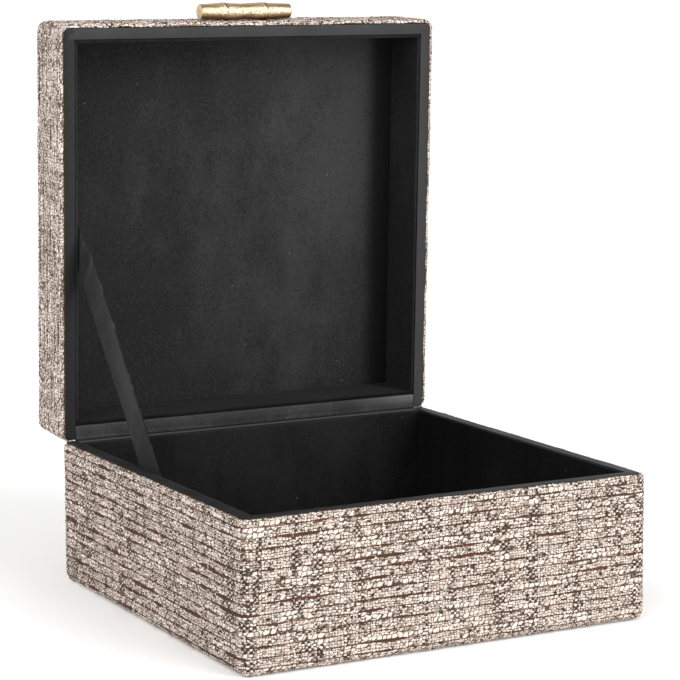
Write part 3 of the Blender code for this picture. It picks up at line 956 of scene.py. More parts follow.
@dataclass
class ClothDraft:
    """Faces of a cloth mesh in progress, each with its corners' yarn coordinates."""

    name: str
    merge: float = 0.00002
    points: list[np.ndarray] = field(default_factory=list)
    faces: list[list[int]] = field(default_factory=list)
    yarns: list[list[list[float]]] = field(default_factory=list)
    count: int = 0

    def add_points(self, points: np.ndarray) -> np.ndarray:
        """Adds points.

        Args:
            points: Grid or line of points.

        Returns:
            Their numbers, in the same shape.
        """
        flat = points.reshape(-1, 3)
        numbers = np.arange(self.count, self.count + len(flat)).reshape(points.shape[:-1])
        self.points.append(flat)
        self.count += len(flat)
        return numbers

    def add_quads(self, numbers: np.ndarray, yarns: np.ndarray, hole: tuple | None = None) -> None:
        """Fills a grid of point numbers with quads.

        Args:
            numbers: The grid.
            yarns: Its yarn coordinates.
            hole: Index of the cells that are left out.
        """
        def corners(grid: np.ndarray) -> np.ndarray:
            """The four corners of each cell of a grid, in order round it."""
            return np.stack([grid[:-1, :-1], grid[:-1, 1:], grid[1:, 1:], grid[1:, :-1]], axis=2)

        quads, marks = corners(numbers), corners(yarns)
        wanted = np.ones(quads.shape[:2], bool)
        if hole:
            wanted[hole] = False
        self.faces += quads[wanted].tolist()
        self.yarns += marks[wanted].tolist()

    def add_face(self, numbers: np.ndarray, yarns: np.ndarray) -> None:
        """Adds one face of any number of corners."""
        self.faces.append(numbers.tolist())
        self.yarns.append(yarns.tolist())

    def build(self) -> Piece:
        """Makes the object, with seams and poles closed and faces outwards.

        Returns:
            The new object.
        """
        mesh = bpy.data.meshes.new(self.name)
        mesh.from_pydata(np.concatenate(self.points).tolist(), [], self.faces)
        layer = mesh.uv_layers.new(name="yarns")
        layer.data.foreach_set("uv", np.concatenate([np.ravel(marks) for marks in self.yarns]))
        obj = add_object(self.name, mesh)
        face_out(obj, self.merge)
        soften(obj, CLOTH_ANGLE)
        return obj


@dataclass
class TweedWalls:
    """The strip of tweed round a tray's walls, over the rim's edge and round the edge of the closed side.

    At the two back corners its edge is pressed down, to lie under the ends of the side bindings.
    """

    seat: Seat
    seed: int
    corner_columns: int = 9
    side_columns: int = 228
    front_columns: int = 230
    rim_radius: float = 0.0018
    rim_drop: float = 0.0004
    press: float = 0.0006
    weave: Weave = Weave()

    def outline(self) -> tuple[np.ndarray, np.ndarray]:
        """Lays out the outside of the walls, from the back left corner clockwise.

        Returns:
            Points and outward normals, one for each column.
        """
        half = np.array([WIDTH / 2 - CORNER_RADIUS, DEPTH / 2 - CORNER_RADIUS])
        centres = half * np.array([(-1, 1), (1, 1), (1, -1), (-1, -1)])
        bend = self.corner_columns
        points, normals = [], []
        for side, centre in enumerate(centres):
            across = centres[(side + 1) % 4] - centre
            straight = self.side_columns if side % 2 else self.front_columns
            for step in range(bend + straight):
                angle = math.radians(180 - 90 * side - 90 * min(step, bend) / bend)
                normal = np.array([math.cos(angle), math.sin(angle)])
                points.append(centre + across * max(step - bend, 0) / straight + CORNER_RADIUS * normal)
                normals.append(normal)
        return np.array([*points, points[0]]), np.array([*normals, normals[0]])

    def profile(self) -> np.ndarray:
        """Lays out the rows of the cloth from the rim's inner edge to the closed side.

        Returns:
            Array of (offset, level, out, along), where the last two are the row's unit normal.
        """
        radius = self.rim_radius
        flat = CLOTH - radius
        straight = self.seat.skin - self.rim_drop - radius - CORNER_RADIUS
        ends = np.cumsum([flat, radius * QUARTER, straight, CORNER_RADIUS * QUARTER])
        rows = 2 * round(ends[-1] / HALF_PITCH / 2)
        way = ends[-1] * np.arange(rows + 1) / rows
        rim = np.clip((way - flat) / radius, 0, QUARTER)
        run = np.clip(way - ends[1], 0, straight)
        edge = np.clip((way - ends[2]) / CORNER_RADIUS, 0, QUARTER)
        offset = np.maximum(flat - way, 0) + radius * (1 - np.sin(rim)) + CORNER_RADIUS * (1 - np.cos(edge))
        level = self.rim_drop + radius * (1 - np.cos(rim)) + run + CORNER_RADIUS * np.sin(edge)
        return np.stack([offset, level, np.sin(rim + edge), -np.cos(rim + edge)], axis=1)

    @property
    def notch(self) -> tuple[int, int]:
        """First and last column of the gap in the back wall that the hinge cloth fills."""
        first = self.corner_columns - 3
        return first, first + self.front_columns + 6

    @property
    def notch_level(self) -> float:
        """Level of the notch's bottom."""
        return self.profile()[NOTCH_ROW, 1]

    def wrap(self, inset: np.ndarray, level: np.ndarray, slide: np.ndarray | float = 0.0) -> np.ndarray:
        """Lays a grid of points round the outline.

        Args:
            inset: How far inside the outline each point lies.
            level: Its level.
            slide: How far it strays along the outline, with an axis of its own.

        Returns:
            Grid of points in the tray's frame.
        """
        points, normals = self.outline()
        tangents = np.stack([-normals[:, 1], normals[:, 0]], axis=1)
        plan = points - normals * inset[..., None] + tangents * slide
        return np.dstack([plan, np.broadcast_to(level, plan.shape[:2])])

    def outer_face(self) -> np.ndarray:
        """Lays out the woven face.

        Returns:
            Grid of points, by rows of the profile and columns of the outline.
        """
        profile = self.profile()
        shape = (len(profile), len(self.outline()[0]))
        first, last = self.notch
        back_wall = np.s_[first : last + 1]
        relief = self.weave.relief(shape, self.seed, ring=True)
        relief[-1] = -self.weave.gap
        relief[-2] *= 0.5
        drift = self.weave.drift(shape, self.seed + 1, ring=True)
        drift[: NOTCH_ROW + 1, back_wall] = 0.0
        relief[NOTCH_ROW, back_wall] = -self.weave.side
        offset, level, out, along = (column[:, None] for column in profile.T)
        under_rim = np.ones(shape[1])
        under_rim[first + 1 : last] = under_rim[last + self.corner_columns - 2 : -5] = 0.0
        level = level + self.press * under_rim * np.clip((offset - 0.0002) / self.press, 0, 1)
        inset = offset - out * relief + along * drift[..., 1]
        return self.wrap(inset, level + along * relief + out * drift[..., 1], drift[..., :1])

    def build(self) -> Piece:
        """Models the strip as one closed shell.

        Returns:
            The object, in the row frame.
        """
        face = self.outer_face()
        marks = yarn_marks(face.shape[:2])
        first, last = self.notch
        draft = ClothDraft(f"{self.seat.name}_tweed_walls")
        outer = draft.add_points(face)
        draft.add_quads(outer, marks, np.s_[:NOTCH_ROW, first:last])
        bend = CORNER_RADIUS - CLOTH
        slope = bend * math.sqrt(0.5)
        edge = self.seat.skin - CORNER_RADIUS
        inset = np.array([CORNER_RADIUS, CORNER_RADIUS - slope, CLOTH, CLOTH])
        level = np.array([edge + bend, edge + slope, edge, self.notch_level])
        inner = draft.add_points(self.wrap(inset[:, None], level[:, None]))
        ring = np.vstack([outer[-1:], inner, outer[:1]])
        ring_marks = np.repeat(marks[:1], len(ring), axis=0) + np.array([0.0, (len(outer) - 1) / 2])
        draft.add_quads(ring, ring_marks, np.s_[-1, first:last])
        sill = np.vstack([outer[NOTCH_ROW], inner[-1]])[:, first : last + 1]
        draft.add_quads(sill, ring_marks[:2, first : last + 1])
        for side in (first, last):
            loop = np.append(outer[: NOTCH_ROW + 1, side], inner[-1, side])
            draft.add_face(loop, marks[: len(loop), side])
        obj = draft.build()
        seat_down(obj, self.seat)
        return obj

    def cut_size(self) -> Pair:
        """Width and length of the flat strip."""
        lines = (self.profile()[:, :2], self.outline()[0])
        return tuple(float(np.linalg.norm(np.diff(line, axis=0), axis=1).sum()) for line in lines)


def woven_slab(
    name: str, front: np.ndarray, back: np.ndarray, marks: np.ndarray, whole_back: bool = False
) -> Piece:
    """A closed sheet of cloth between a woven front and a plain back.

    Args:
        name: Name of the object.
        front: Grid of points of the front.
        back: Grid of points behind them.
        marks: Yarn coordinates of the grid.
        whole_back: Whether the back keeps the grid, as a bent sheet needs, or is one flat face.

    Returns:
        The new object.
    """
    draft = ClothDraft(name)
    top = draft.add_points(front)
    draft.add_quads(top, marks)
    edge_marks = border(marks)
    if whole_back:
        under = draft.add_points(back)
        draft.add_quads(under, marks)
        lower = border(under)
    else:
        lower = draft.add_points(border(back)[:-1])
        draft.add_face(lower, edge_marks[:-1])
        lower = np.append(lower, lower[0])
    draft.add_quads(np.stack([border(top), lower]), np.stack([edge_marks, edge_marks]))
    return draft.build()


def flat_grid(half_x: float, start: float, end: float) -> tuple[np.ndarray, np.ndarray]:
    """Lays out a level grid of points, two for each yarn.

    Args:
        half_x: Half its size in x, about 0.
        start: Its first row's y.
        end: Its last row's y.

    Returns:
        Grids of x and of y.
    """
    columns = 2 * round(half_x / HALF_PITCH)
    rows = 2 * round(abs(end - start) / HALF_PITCH / 2)
    return np.meshgrid(np.linspace(-half_x, half_x, columns + 1), np.linspace(start, end, rows + 1))


def flat_cloth(name: str, front: np.ndarray, under: float, row: float) -> Piece:
    """A level sheet of cloth.

    Args:
        name: Name of the object.
        front: Grid of points of the woven face.
        under: Level of the plain back.
        row: Yarn coordinate of the first row.

    Returns:
        The new object, in a tray's frame.
    """
    back = front.copy()
    back[..., 2] = under
    return woven_slab(name, front, back, yarn_marks(front.shape[:2], row=row))


@dataclass
class LidTopCloth:
    """The sheet of tweed on the lid's top, butted to the walls' strip along a fine seam."""

    name: str = "lid_tweed_top"
    seed: int = 31
    first_row: float = 200.0
    cut_size: Pair = (WIDTH - 2 * CORNER_RADIUS, DEPTH - 2 * CORNER_RADIUS)
    weave: Weave = Weave()

    def build(self) -> Piece:
        """Models the sheet.

        Returns:
            The object, in the row frame.
        """
        half_y = DEPTH / 2 - CORNER_RADIUS
        x, y = flat_grid(WIDTH / 2 - CORNER_RADIUS, half_y, -half_y)
        relief = self.weave.relief(x.shape, self.seed)
        for line in (relief[0], relief[-1], relief[:, 0], relief[:, -1]):
            line[:] = -self.weave.gap
        drift = self.weave.drift(x.shape, self.seed + 1)
        front = np.dstack([x + drift[..., 0], y + drift[..., 1], LID_HEIGHT + relief])
        obj = flat_cloth(self.name, front, LID_HEIGHT - CLOTH, self.first_row)
        seat_down(obj, LID_SEAT)
        return obj


@dataclass
class BaseHem:
    """The tweed's margin turned under the base as four flaps that meet in mitres."""

    name: str = "base_tweed_hem"
    width: float = 0.020
    seed: int = 47
    first_row: float = 47.0
    cut_size: Pair = (0.014, 0.908)
    weave: Weave = Weave(crown=0.0001, stray=0.00003, slub=0.00005)

    def flap(self, turn: int) -> Piece:
        """Models one flap.

        Args:
            turn: Quarter turns from the front.

        Returns:
            The flap, in the base's tray frame.
        """
        across, deep = (DEPTH, WIDTH) if turn % 2 else (WIDTH, DEPTH)
        half_x, edge = across / 2 - CORNER_RADIUS, deep / 2 - CORNER_RADIUS
        x, y = flat_grid(half_x, -edge, self.width - CORNER_RADIUS - edge)
        relief = self.weave.relief(x.shape, self.seed + turn)
        relief[0] = -self.weave.gap
        front = np.dstack([x, y, BASE_SKIN + relief - relief.max()])
        obj = flat_cloth(f"hem_flap_{turn}", front, BASE_SKIN - CLOTH, self.first_row)
        for sign in (-1, 1):
            slice_at(obj, (sign * (half_x - FIT / 2), -edge, 0.0), (sign, 1.0, 0.0), clear=True)
        obj.data.transform(Matrix.Rotation(turn * QUARTER, 4, "Z"))
        return obj

    def build(self) -> Piece:
        """Models the four flaps as one piece.

        Returns:
            The object, in the row frame.
        """
        obj = join([self.flap(turn) for turn in range(4)], self.name)
        seat_down(obj, BASE_SEAT)
        soften(obj, CLOTH_ANGLE)
        return obj


def mirror_to_lid(points: Iterable[float]) -> np.ndarray:
    """Carries (y, z) pairs, taken from the hinge line, from the base to their mirror places on the lid."""
    turn_cos, turn_sin = math.cos(OPEN_ANGLE), math.sin(OPEN_ANGLE)
    return np.asarray(points) @ np.array([[turn_cos, -turn_sin], [-turn_sin, -turn_cos]])


def from_hinge(x: np.ndarray, line: np.ndarray) -> np.ndarray:
    """Lays out a grid of points.

    Args:
        x: Places along the hinge line, one for each column.
        line: Grid of (y, z) pairs taken from the hinge line, with one column or as many as x has.

    Returns:
        Grid of points in the row frame.
    """
    line = np.broadcast_to(line, (len(line), len(x), 2)) + np.array([HINGE_Y, HINGE_Z])
    return np.dstack([np.broadcast_to(x, line.shape[:2]), line])


@dataclass
class HingeTweed:
    """The outer tweed where it runs on, uncut, from the base's back wall to the lid's."""

    walls: TweedWalls
    lid_walls: TweedWalls
    name: str = "hinge_tweed"
    seed: int = 61
    steps: int = 8
    slack: float = 0.0004
    first_row: float = 101.0
    cut_size: Pair = (0.0143, 0.2483)
    blend_reach: float = 0.00078
    weave: Weave = Weave()

    def face(self, x: np.ndarray, out: np.ndarray, bend: np.ndarray) -> np.ndarray:
        """Points across the band, up the base's wall and down the lid's.

        Args:
            x: Places along the hinge line.
            out: How far outside the hinge line the face lies at each.
            bend: Level at which the face leaves the base's wall there.

        Returns:
            Grid of points in the row frame.
        """
        base_foot, lid_foot = (-RIM_GAP / 2 - walls.notch_level for walls in (self.walls, self.lid_walls))
        share = np.arange(1, self.steps + 1)[:, None] / self.steps
        start = np.full((1, len(x)), base_foot)
        rise, fall = base_foot + (bend - base_foot) * share, bend + (lid_foot - bend) * share
        levels = np.vstack([start, rise, fall])
        line = np.dstack([np.broadcast_to(out, levels.shape), levels])
        line[self.steps + 1 :] = mirror_to_lid(line[self.steps + 1 :])
        return from_hinge(x, line)

    def build(self) -> Piece:
        """Models the band, which follows the start of the back corners.

        Returns:
            The object, in the row frame.
        """
        first, last = self.walls.notch
        x, y = self.walls.outline()[0][first : last + 1].T
        half_turn = OPEN_ANGLE / 2
        recess = DEPTH / 2 - y
        out = HINGE_INSET - recess
        front = self.face(x, out, -out * math.tan(half_turn))
        inner = out - CLOTH
        bend = (self.slack + recess / 2 + inner * math.cos(half_turn)) / math.sin(half_turn)
        step = np.gradient(front[:, len(x) // 2, 1:], axis=0)
        step /= np.linalg.norm(step, axis=1)[:, None]
        relief = self.weave.relief(front.shape[:2], self.seed)
        relief[0] = relief[-1] = -self.weave.side
        relief[self.steps - 1 : self.steps + 2] = -self.weave.gap
        front[..., 1] += relief * step[:, 1:]
        front[..., 2] -= relief * step[:, :1]
        marks = yarn_marks(front.shape[:2], first / 2, self.first_row)
        return woven_slab(self.name, front, self.face(x, inner, bend), marks, whole_back=True)


# Suede and leatherette


@dataclass
class SuedeCards:
    """Suede-covered cards that line a tray: four walls and a panel."""

    seat: Seat
    panel_side: str
    seed: int
    # How much lighter the panel is painted towards +x and towards its top: painted light.
    panel_painted_light: Pair = (0.0, 0.0)
    sag: float = 0.00013
    edge: float = 0.00055
    cell: float = 0.0045
    top: float = 0.0004
    panel_depth: float = 0.0018
    panel_gap: float = 0.0001
    # x from which the panel is painted dark towards its right wall: a painted shadow.
    painted_shadow_from: float = 0.094
    face_depth: float = 0.0012
    long_wave: float = 0.045
    short_wave: float = 0.012
    rim_depth: float = 0.0003
    rim_lift: float = 0.00016
    rim_wave: float = 0.016

    def card(self, side: str, low: Vector, high: Vector, thin: Axis, inward: float) -> Piece:
        """Models one card with rounded edges and a slightly uneven face.

        Args:
            side: Side of the tray, or the panel's.
            low: Lowest corner in the tray's frame.
            high: Highest corner.
            thin: Axis of the card's thickness.
            inward: Sign of the direction along thin that the room lies in.

        Returns:
            The card, in the row frame.
        """
        obj = add_block(f"{self.seat.name}_{side}_suede", low, high)
        for axis in Axis:
            if axis is not thin:
                span = high[axis.value] - low[axis.value]
                divide(obj, axis, max(6, round(span / self.cell)))
        round_edges(obj, self.edge, 3, 60.0)
        points = points_of(obj)
        face = high[thin.value] if inward > 0 else low[thin.value]
        near = np.clip(1 - np.abs(points[:, thin.value] - face) / self.face_depth, 0, 1)
        swell = ripple(points, self.long_wave, self.seed + len(side))
        swell = swell + 0.5 * ripple(points, self.short_wave, self.seed + 5)
        points[:, thin.value] += inward * near * self.sag * (swell - 0.6)
        rim = points[:, 2] < low.z + self.rim_depth
        points[rim, 2] += self.rim_lift * (ripple(points[rim], self.rim_wave, self.seed + 9) - 0.2)
        move_points(obj, points)
        seat_down(obj, self.seat)
        soften(obj)
        return obj

    def build(self, painted_shade_by_side: dict[str, float]) -> None:
        """Models and dresses all five cards.

        Args:
            painted_shade_by_side: For each side, a factor from 0 to 1 that darkens its suede as painted
                shade.
        """
        x, y = WIDTH / 2 - LINING_INNER, DEPTH / 2 - LINING_INNER
        out_x, out_y = WIDTH / 2 - LINING_OUTER, DEPTH / 2 - LINING_OUTER
        top, end = self.top, self.seat.skin - CLOTH - FIT - END_BOARD - FIT
        panel_x, panel_y, panel_end = x - self.panel_gap, y - self.panel_gap, end - self.panel_depth
        cards = {
            "front": ((-out_x, -out_y, top), (out_x, -y, end), Axis.Y, 1),
            "back": ((-out_x, y, top), (out_x, out_y, end), Axis.Y, -1),
            "left": ((-out_x, -y + FIT, top), (-x, y - FIT, end), Axis.X, 1),
            "right": ((x, -y + FIT, top), (out_x, y - FIT, end), Axis.X, -1),
            self.panel_side: ((-panel_x, -panel_y, panel_end), (panel_x, panel_y, end), Axis.Z, -1),
        }
        for side, (low, high, thin, inward) in cards.items():
            obj = self.card(side, Vector(low), Vector(high), thin, inward)
            # Only the panel gets painted light along x and z and a painted shadow band by its right wall.
            lean = self.panel_painted_light if side == self.panel_side else (0.0, 0.0)
            shade = self.painted_shadow_from if any(lean) else 0.0
            material = SuedeFinish(depth=painted_shade_by_side[side], lean=lean, shade=shade).material(f"{obj.name}_nap")
            dress(obj, material, f"{self.seat.name}_{side}_lining", self.seat.half)


@dataclass
class RimBindings:
    """Leatherette over a tray's rim and down behind its cards, mitred at the front corners."""

    seat: Seat
    seed: int
    edge: float = 0.00022
    pucker: float = 0.00006
    back_inset: float = 0.0009
    cuts: int = 90

    def trim(self, strip: Piece, inset: float, end: int) -> None:
        """Trims a strip to the two rounded corners at one end of the tray.

        Args:
            strip: The strip, in the tray's frame.
            inset: How far inside the cloth's outer face the corners lie.
            end: -1 for the front corners, 1 for the back ones.
        """
        half_x, half_y = WIDTH / 2 - inset, DEPTH / 2 - inset
        near, far = sorted((end * half_y, -end * (half_y + 0.01)))
        core = add_block("rim_core", (-half_x, near, -0.01), (half_x, far, 0.02))

        def is_corner(edge: bmesh.types.BMEdge) -> bool:
            """Whether an edge is one of the two upright ones at this end."""
            low, high = (vert.co for vert in edge.verts)
            return abs(low.z - high.z) > 0.01 and low.y * end > 0

        with editing(core, "EDGE", is_corner):
            bpy.ops.mesh.bevel(offset=CORNER_RADIUS - inset, segments=8)
        modify(strip, "BOOLEAN", operation="INTERSECT", solver="EXACT", object=core)
        bpy.data.objects.remove(core)

    def strip(self, side: str, span: float, reach: float, turn: float, mitres: tuple[int, ...]) -> Piece:
        """Models one strip as a front one, then turns it to its side.

        Args:
            side: Side of the tray.
            span: Outer length of the tray along the strip.
            reach: Half the tray's size across the strip.
            turn: Angle about w from the front to this side.
            mitres: Signs of the ends that are mitred.

        Returns:
            The strip, in the row frame.
        """
        low, high = (-span / 2, BOARD_OUTER - reach, 0), (span / 2, LEG_INNER - reach, BINDING)
        obj = add_block(f"{self.seat.name}_{side}_rim", low, high)
        slice_at(obj, (0, LEG_OUTER - reach, 0), (0, 1, 0))
        open_end = [sign for sign in (-1, 1) if sign not in mitres]
        for sign in open_end:
            slice_at(obj, (sign * (span / 2 - LEG_OUTER), 0, 0), (sign, 0, 0))

        def carries_leg(face: bmesh.types.BMFace) -> bool:
            """Whether the leg grows from a face: the inner margin, where no back rim is behind it."""
            middle = face.calc_center_median()
            behind = any(sign * middle.x > span / 2 - LEG_OUTER for sign in open_end)
            return face.normal.z > 0.9 and middle.y > LEG_OUTER - reach and not behind

        leg = {"value": (0, 0, BINDING_LEG - BINDING)}
        with editing(obj, "FACE", carries_leg):
            bpy.ops.mesh.extrude_region_move(TRANSFORM_OT_translate=leg)
        divide(obj, Axis.X, self.cuts)
        for sign in mitres:
            slice_at(obj, (sign * (span / 2 - FIT * 0.7), -reach, 0), (sign, -1, 0), clear=True)
        obj.data.transform(Matrix.Rotation(turn, 4, "Z"))
        self.trim(obj, BOARD_OUTER, -1)
        if open_end:
            self.trim(obj, self.back_inset, 1)
        round_edges(obj, self.edge, 2)
        points = points_of(obj)
        lift = ripple(points, 0.010, self.seed + len(side)) + ripple(points, 0.035, self.seed + 3)
        points[:, 2] += self.pucker * lift * (points[:, 2] < 0.002)
        move_points(obj, points)
        seat_down(obj, self.seat)
        soften(obj, 40.0)
        return obj

    def build(self, front: float = 1.0, left: float = 1.0, right: float = 1.0) -> None:
        """Models and dresses the three strips.

        Args:
            front: Factor that darkens the front strip, as painted shade.
            left: The same for the left one.
            right: The same for the right one.
        """
        for side, depth, span, reach, turn, mitres in (
            ("front", front, WIDTH, DEPTH / 2, 0.0, (-1, 1)),
            ("right", right, DEPTH, WIDTH / 2, QUARTER, (-1,)),
            ("left", left, DEPTH, WIDTH / 2, -QUARTER, (1,)),
        ):
            obj = self.strip(side, span, reach, turn, mitres)
            material = LeatheretteFinish(depth=depth).material(f"{obj.name}_grain")
            dress(obj, material, f"{self.seat.name}_{side}_binding", self.seat.half)


def suede_sheet(name: str, grid: np.ndarray, marks: np.ndarray, thickness: float) -> Piece:
    """Makes a thin sheet.

    Args:
        name: Name of the object.
        grid: Grid of points on its face, in the row frame.
        marks: Their coordinates in the sheet, in metres.
        thickness: How thick it is.

    Returns:
        The new object.
    """
    draft = ClothDraft(name)
    draft.add_quads(draft.add_points(grid), marks)
    obj = draft.build()
    modify(obj, "SOLIDIFY", thickness=thickness, offset=-1.0, use_even_offset=True)
    face_out(obj)
    soften(obj, 60.0)
    return obj


@dataclass
class HingeStrip:
    """The suede strip glued over both back rims, tucked behind the back cards."""

    name: str = "hinge_suede_strip"
    thickness: float = 0.0005
    bend: float = 0.0007
    slack: float = 0.0012
    columns: int = 180
    seed: int = 71
    pucker: float = 0.00008
    long_wave: float = 0.018
    short_wave: float = 0.006
    cut_size: Pair = (0.0355, 0.235)
    blend_reach: float = 0.00105

    def build(self) -> Piece:
        """Models the strip.

        Returns:
            The object, in the row frame.
        """
        inner, rim, bend = HINGE_INSET - LEG_INNER, -RIM_GAP / 2, self.bend
        fold = (rim * math.sin(OPEN_ANGLE / 2) - self.slack) / math.cos(OPEN_ANGLE / 2)
        steps = (0, 8, 9, 10, 18)
        corners = (
            (inner, inner, inner + bend * 0.3, inner + bend, fold),
            (rim - BINDING_LEG, rim - bend, rim - bend * 0.3, rim, rim),
        )
        base = np.stack([np.interp(range(steps[-1] + 1), steps, values) for values in corners], axis=1)
        line = np.vstack([base, mirror_to_lid(base[::-1])])
        half = WIDTH / 2 - LINING_OUTER
        stations = np.linspace(-half, half, self.columns)
        grid = from_hinge(stations, line[:, None])
        flat = grid.reshape(-1, 3)
        lift = self.pucker * ripple(flat, self.long_wave, self.seed)
        lift = lift + self.pucker / 2 * ripple(flat, self.short_wave, self.seed + 1)
        grid += lift.reshape(*grid.shape[:2], 1) * np.array([0.0, -0.7, 0.7])
        marks = np.dstack(np.meshgrid(stations, np.arange(len(line)) * 0.001))
        return suede_sheet(self.name, grid, marks, self.thickness)


@dataclass
class StayRibbon:
    """The suede ribbon on the left that stops the lid, glued to the left card of each half."""

    name: str = "stay_suede_ribbon"
    width: float = 0.0218
    thickness: float = 0.0007
    base_reach: float = 0.104
    lid_reach: float = 0.118
    tuck: float = 0.017
    face: float = -WIDTH / 2 + LINING_INNER + FIT
    kink_at: float = 0.014
    kink_span: float = 0.006
    kink_pinch: float = 0.0012
    kink_lift: float = 0.0011
    kink_wave: float = 0.0045
    pinch: float = 0.0046
    pinch_at: float = 0.0105
    pinch_span: float = 0.0022
    bow: float = 0.0008
    cup: float = 0.6
    twist: float = 0.00035

    @property
    def anchors(self) -> tuple[Vector, Vector]:
        """Where the ribbon's middle leaves the base's rim plane and meets the lid's, in (y, z)."""
        hinge = Vector((HINGE_Y, HINGE_Z))
        base = hinge + Vector((-self.base_reach, -RIM_GAP / 2))
        return base, hinge + Vector(mirror_to_lid((-self.lid_reach, -RIM_GAP / 2)))

    @property
    def length(self) -> float:
        """The ribbon's whole length, with its tucks."""
        base, lid = self.anchors
        return (lid - base).length + 2 * self.tuck

    def build(self) -> Piece:
        """Models the ribbon.

        Returns:
            The object, in the row frame.
        """
        base, lid = self.anchors
        along = (lid - base).normalized()
        across = Vector((-along.y, along.x))
        start = base - along * self.tuck
        share, side = np.meshgrid(np.linspace(0, 1, 121), np.linspace(-0.5, 0.5, 17), indexing="ij")
        way = share * self.length
        free = np.sin(np.clip((way - self.tuck) / (self.length - 2 * self.tuck), 0, 1) * math.pi)
        to_lid = (1 - share) * self.length - self.tuck
        kink = np.exp(-(((to_lid - self.kink_at) / self.kink_span) ** 2))
        pinch = self.pinch / (1 + np.exp((to_lid - self.pinch_at) / self.pinch_span))
        pinch = pinch - self.kink_pinch * kink
        shift = side * self.width + math.copysign(1, across.x) * pinch * (side + 0.5)
        bow = self.bow * free * (1 - self.cup * (2 * side) ** 2)
        bow += self.twist * free * np.sin(share * 9.0 + side * 2.0)
        bow += self.kink_lift * kink * np.cos((to_lid - self.kink_at) / self.kink_wave + 2.5 * side)
        y = start.x + along.x * way + across.x * shift
        z = start.y + along.y * way + across.y * shift
        grid = np.dstack([self.face + self.thickness + bow, y, z])
        return suede_sheet(self.name, grid, np.dstack([way, side * self.width]), self.thickness)


# Handle


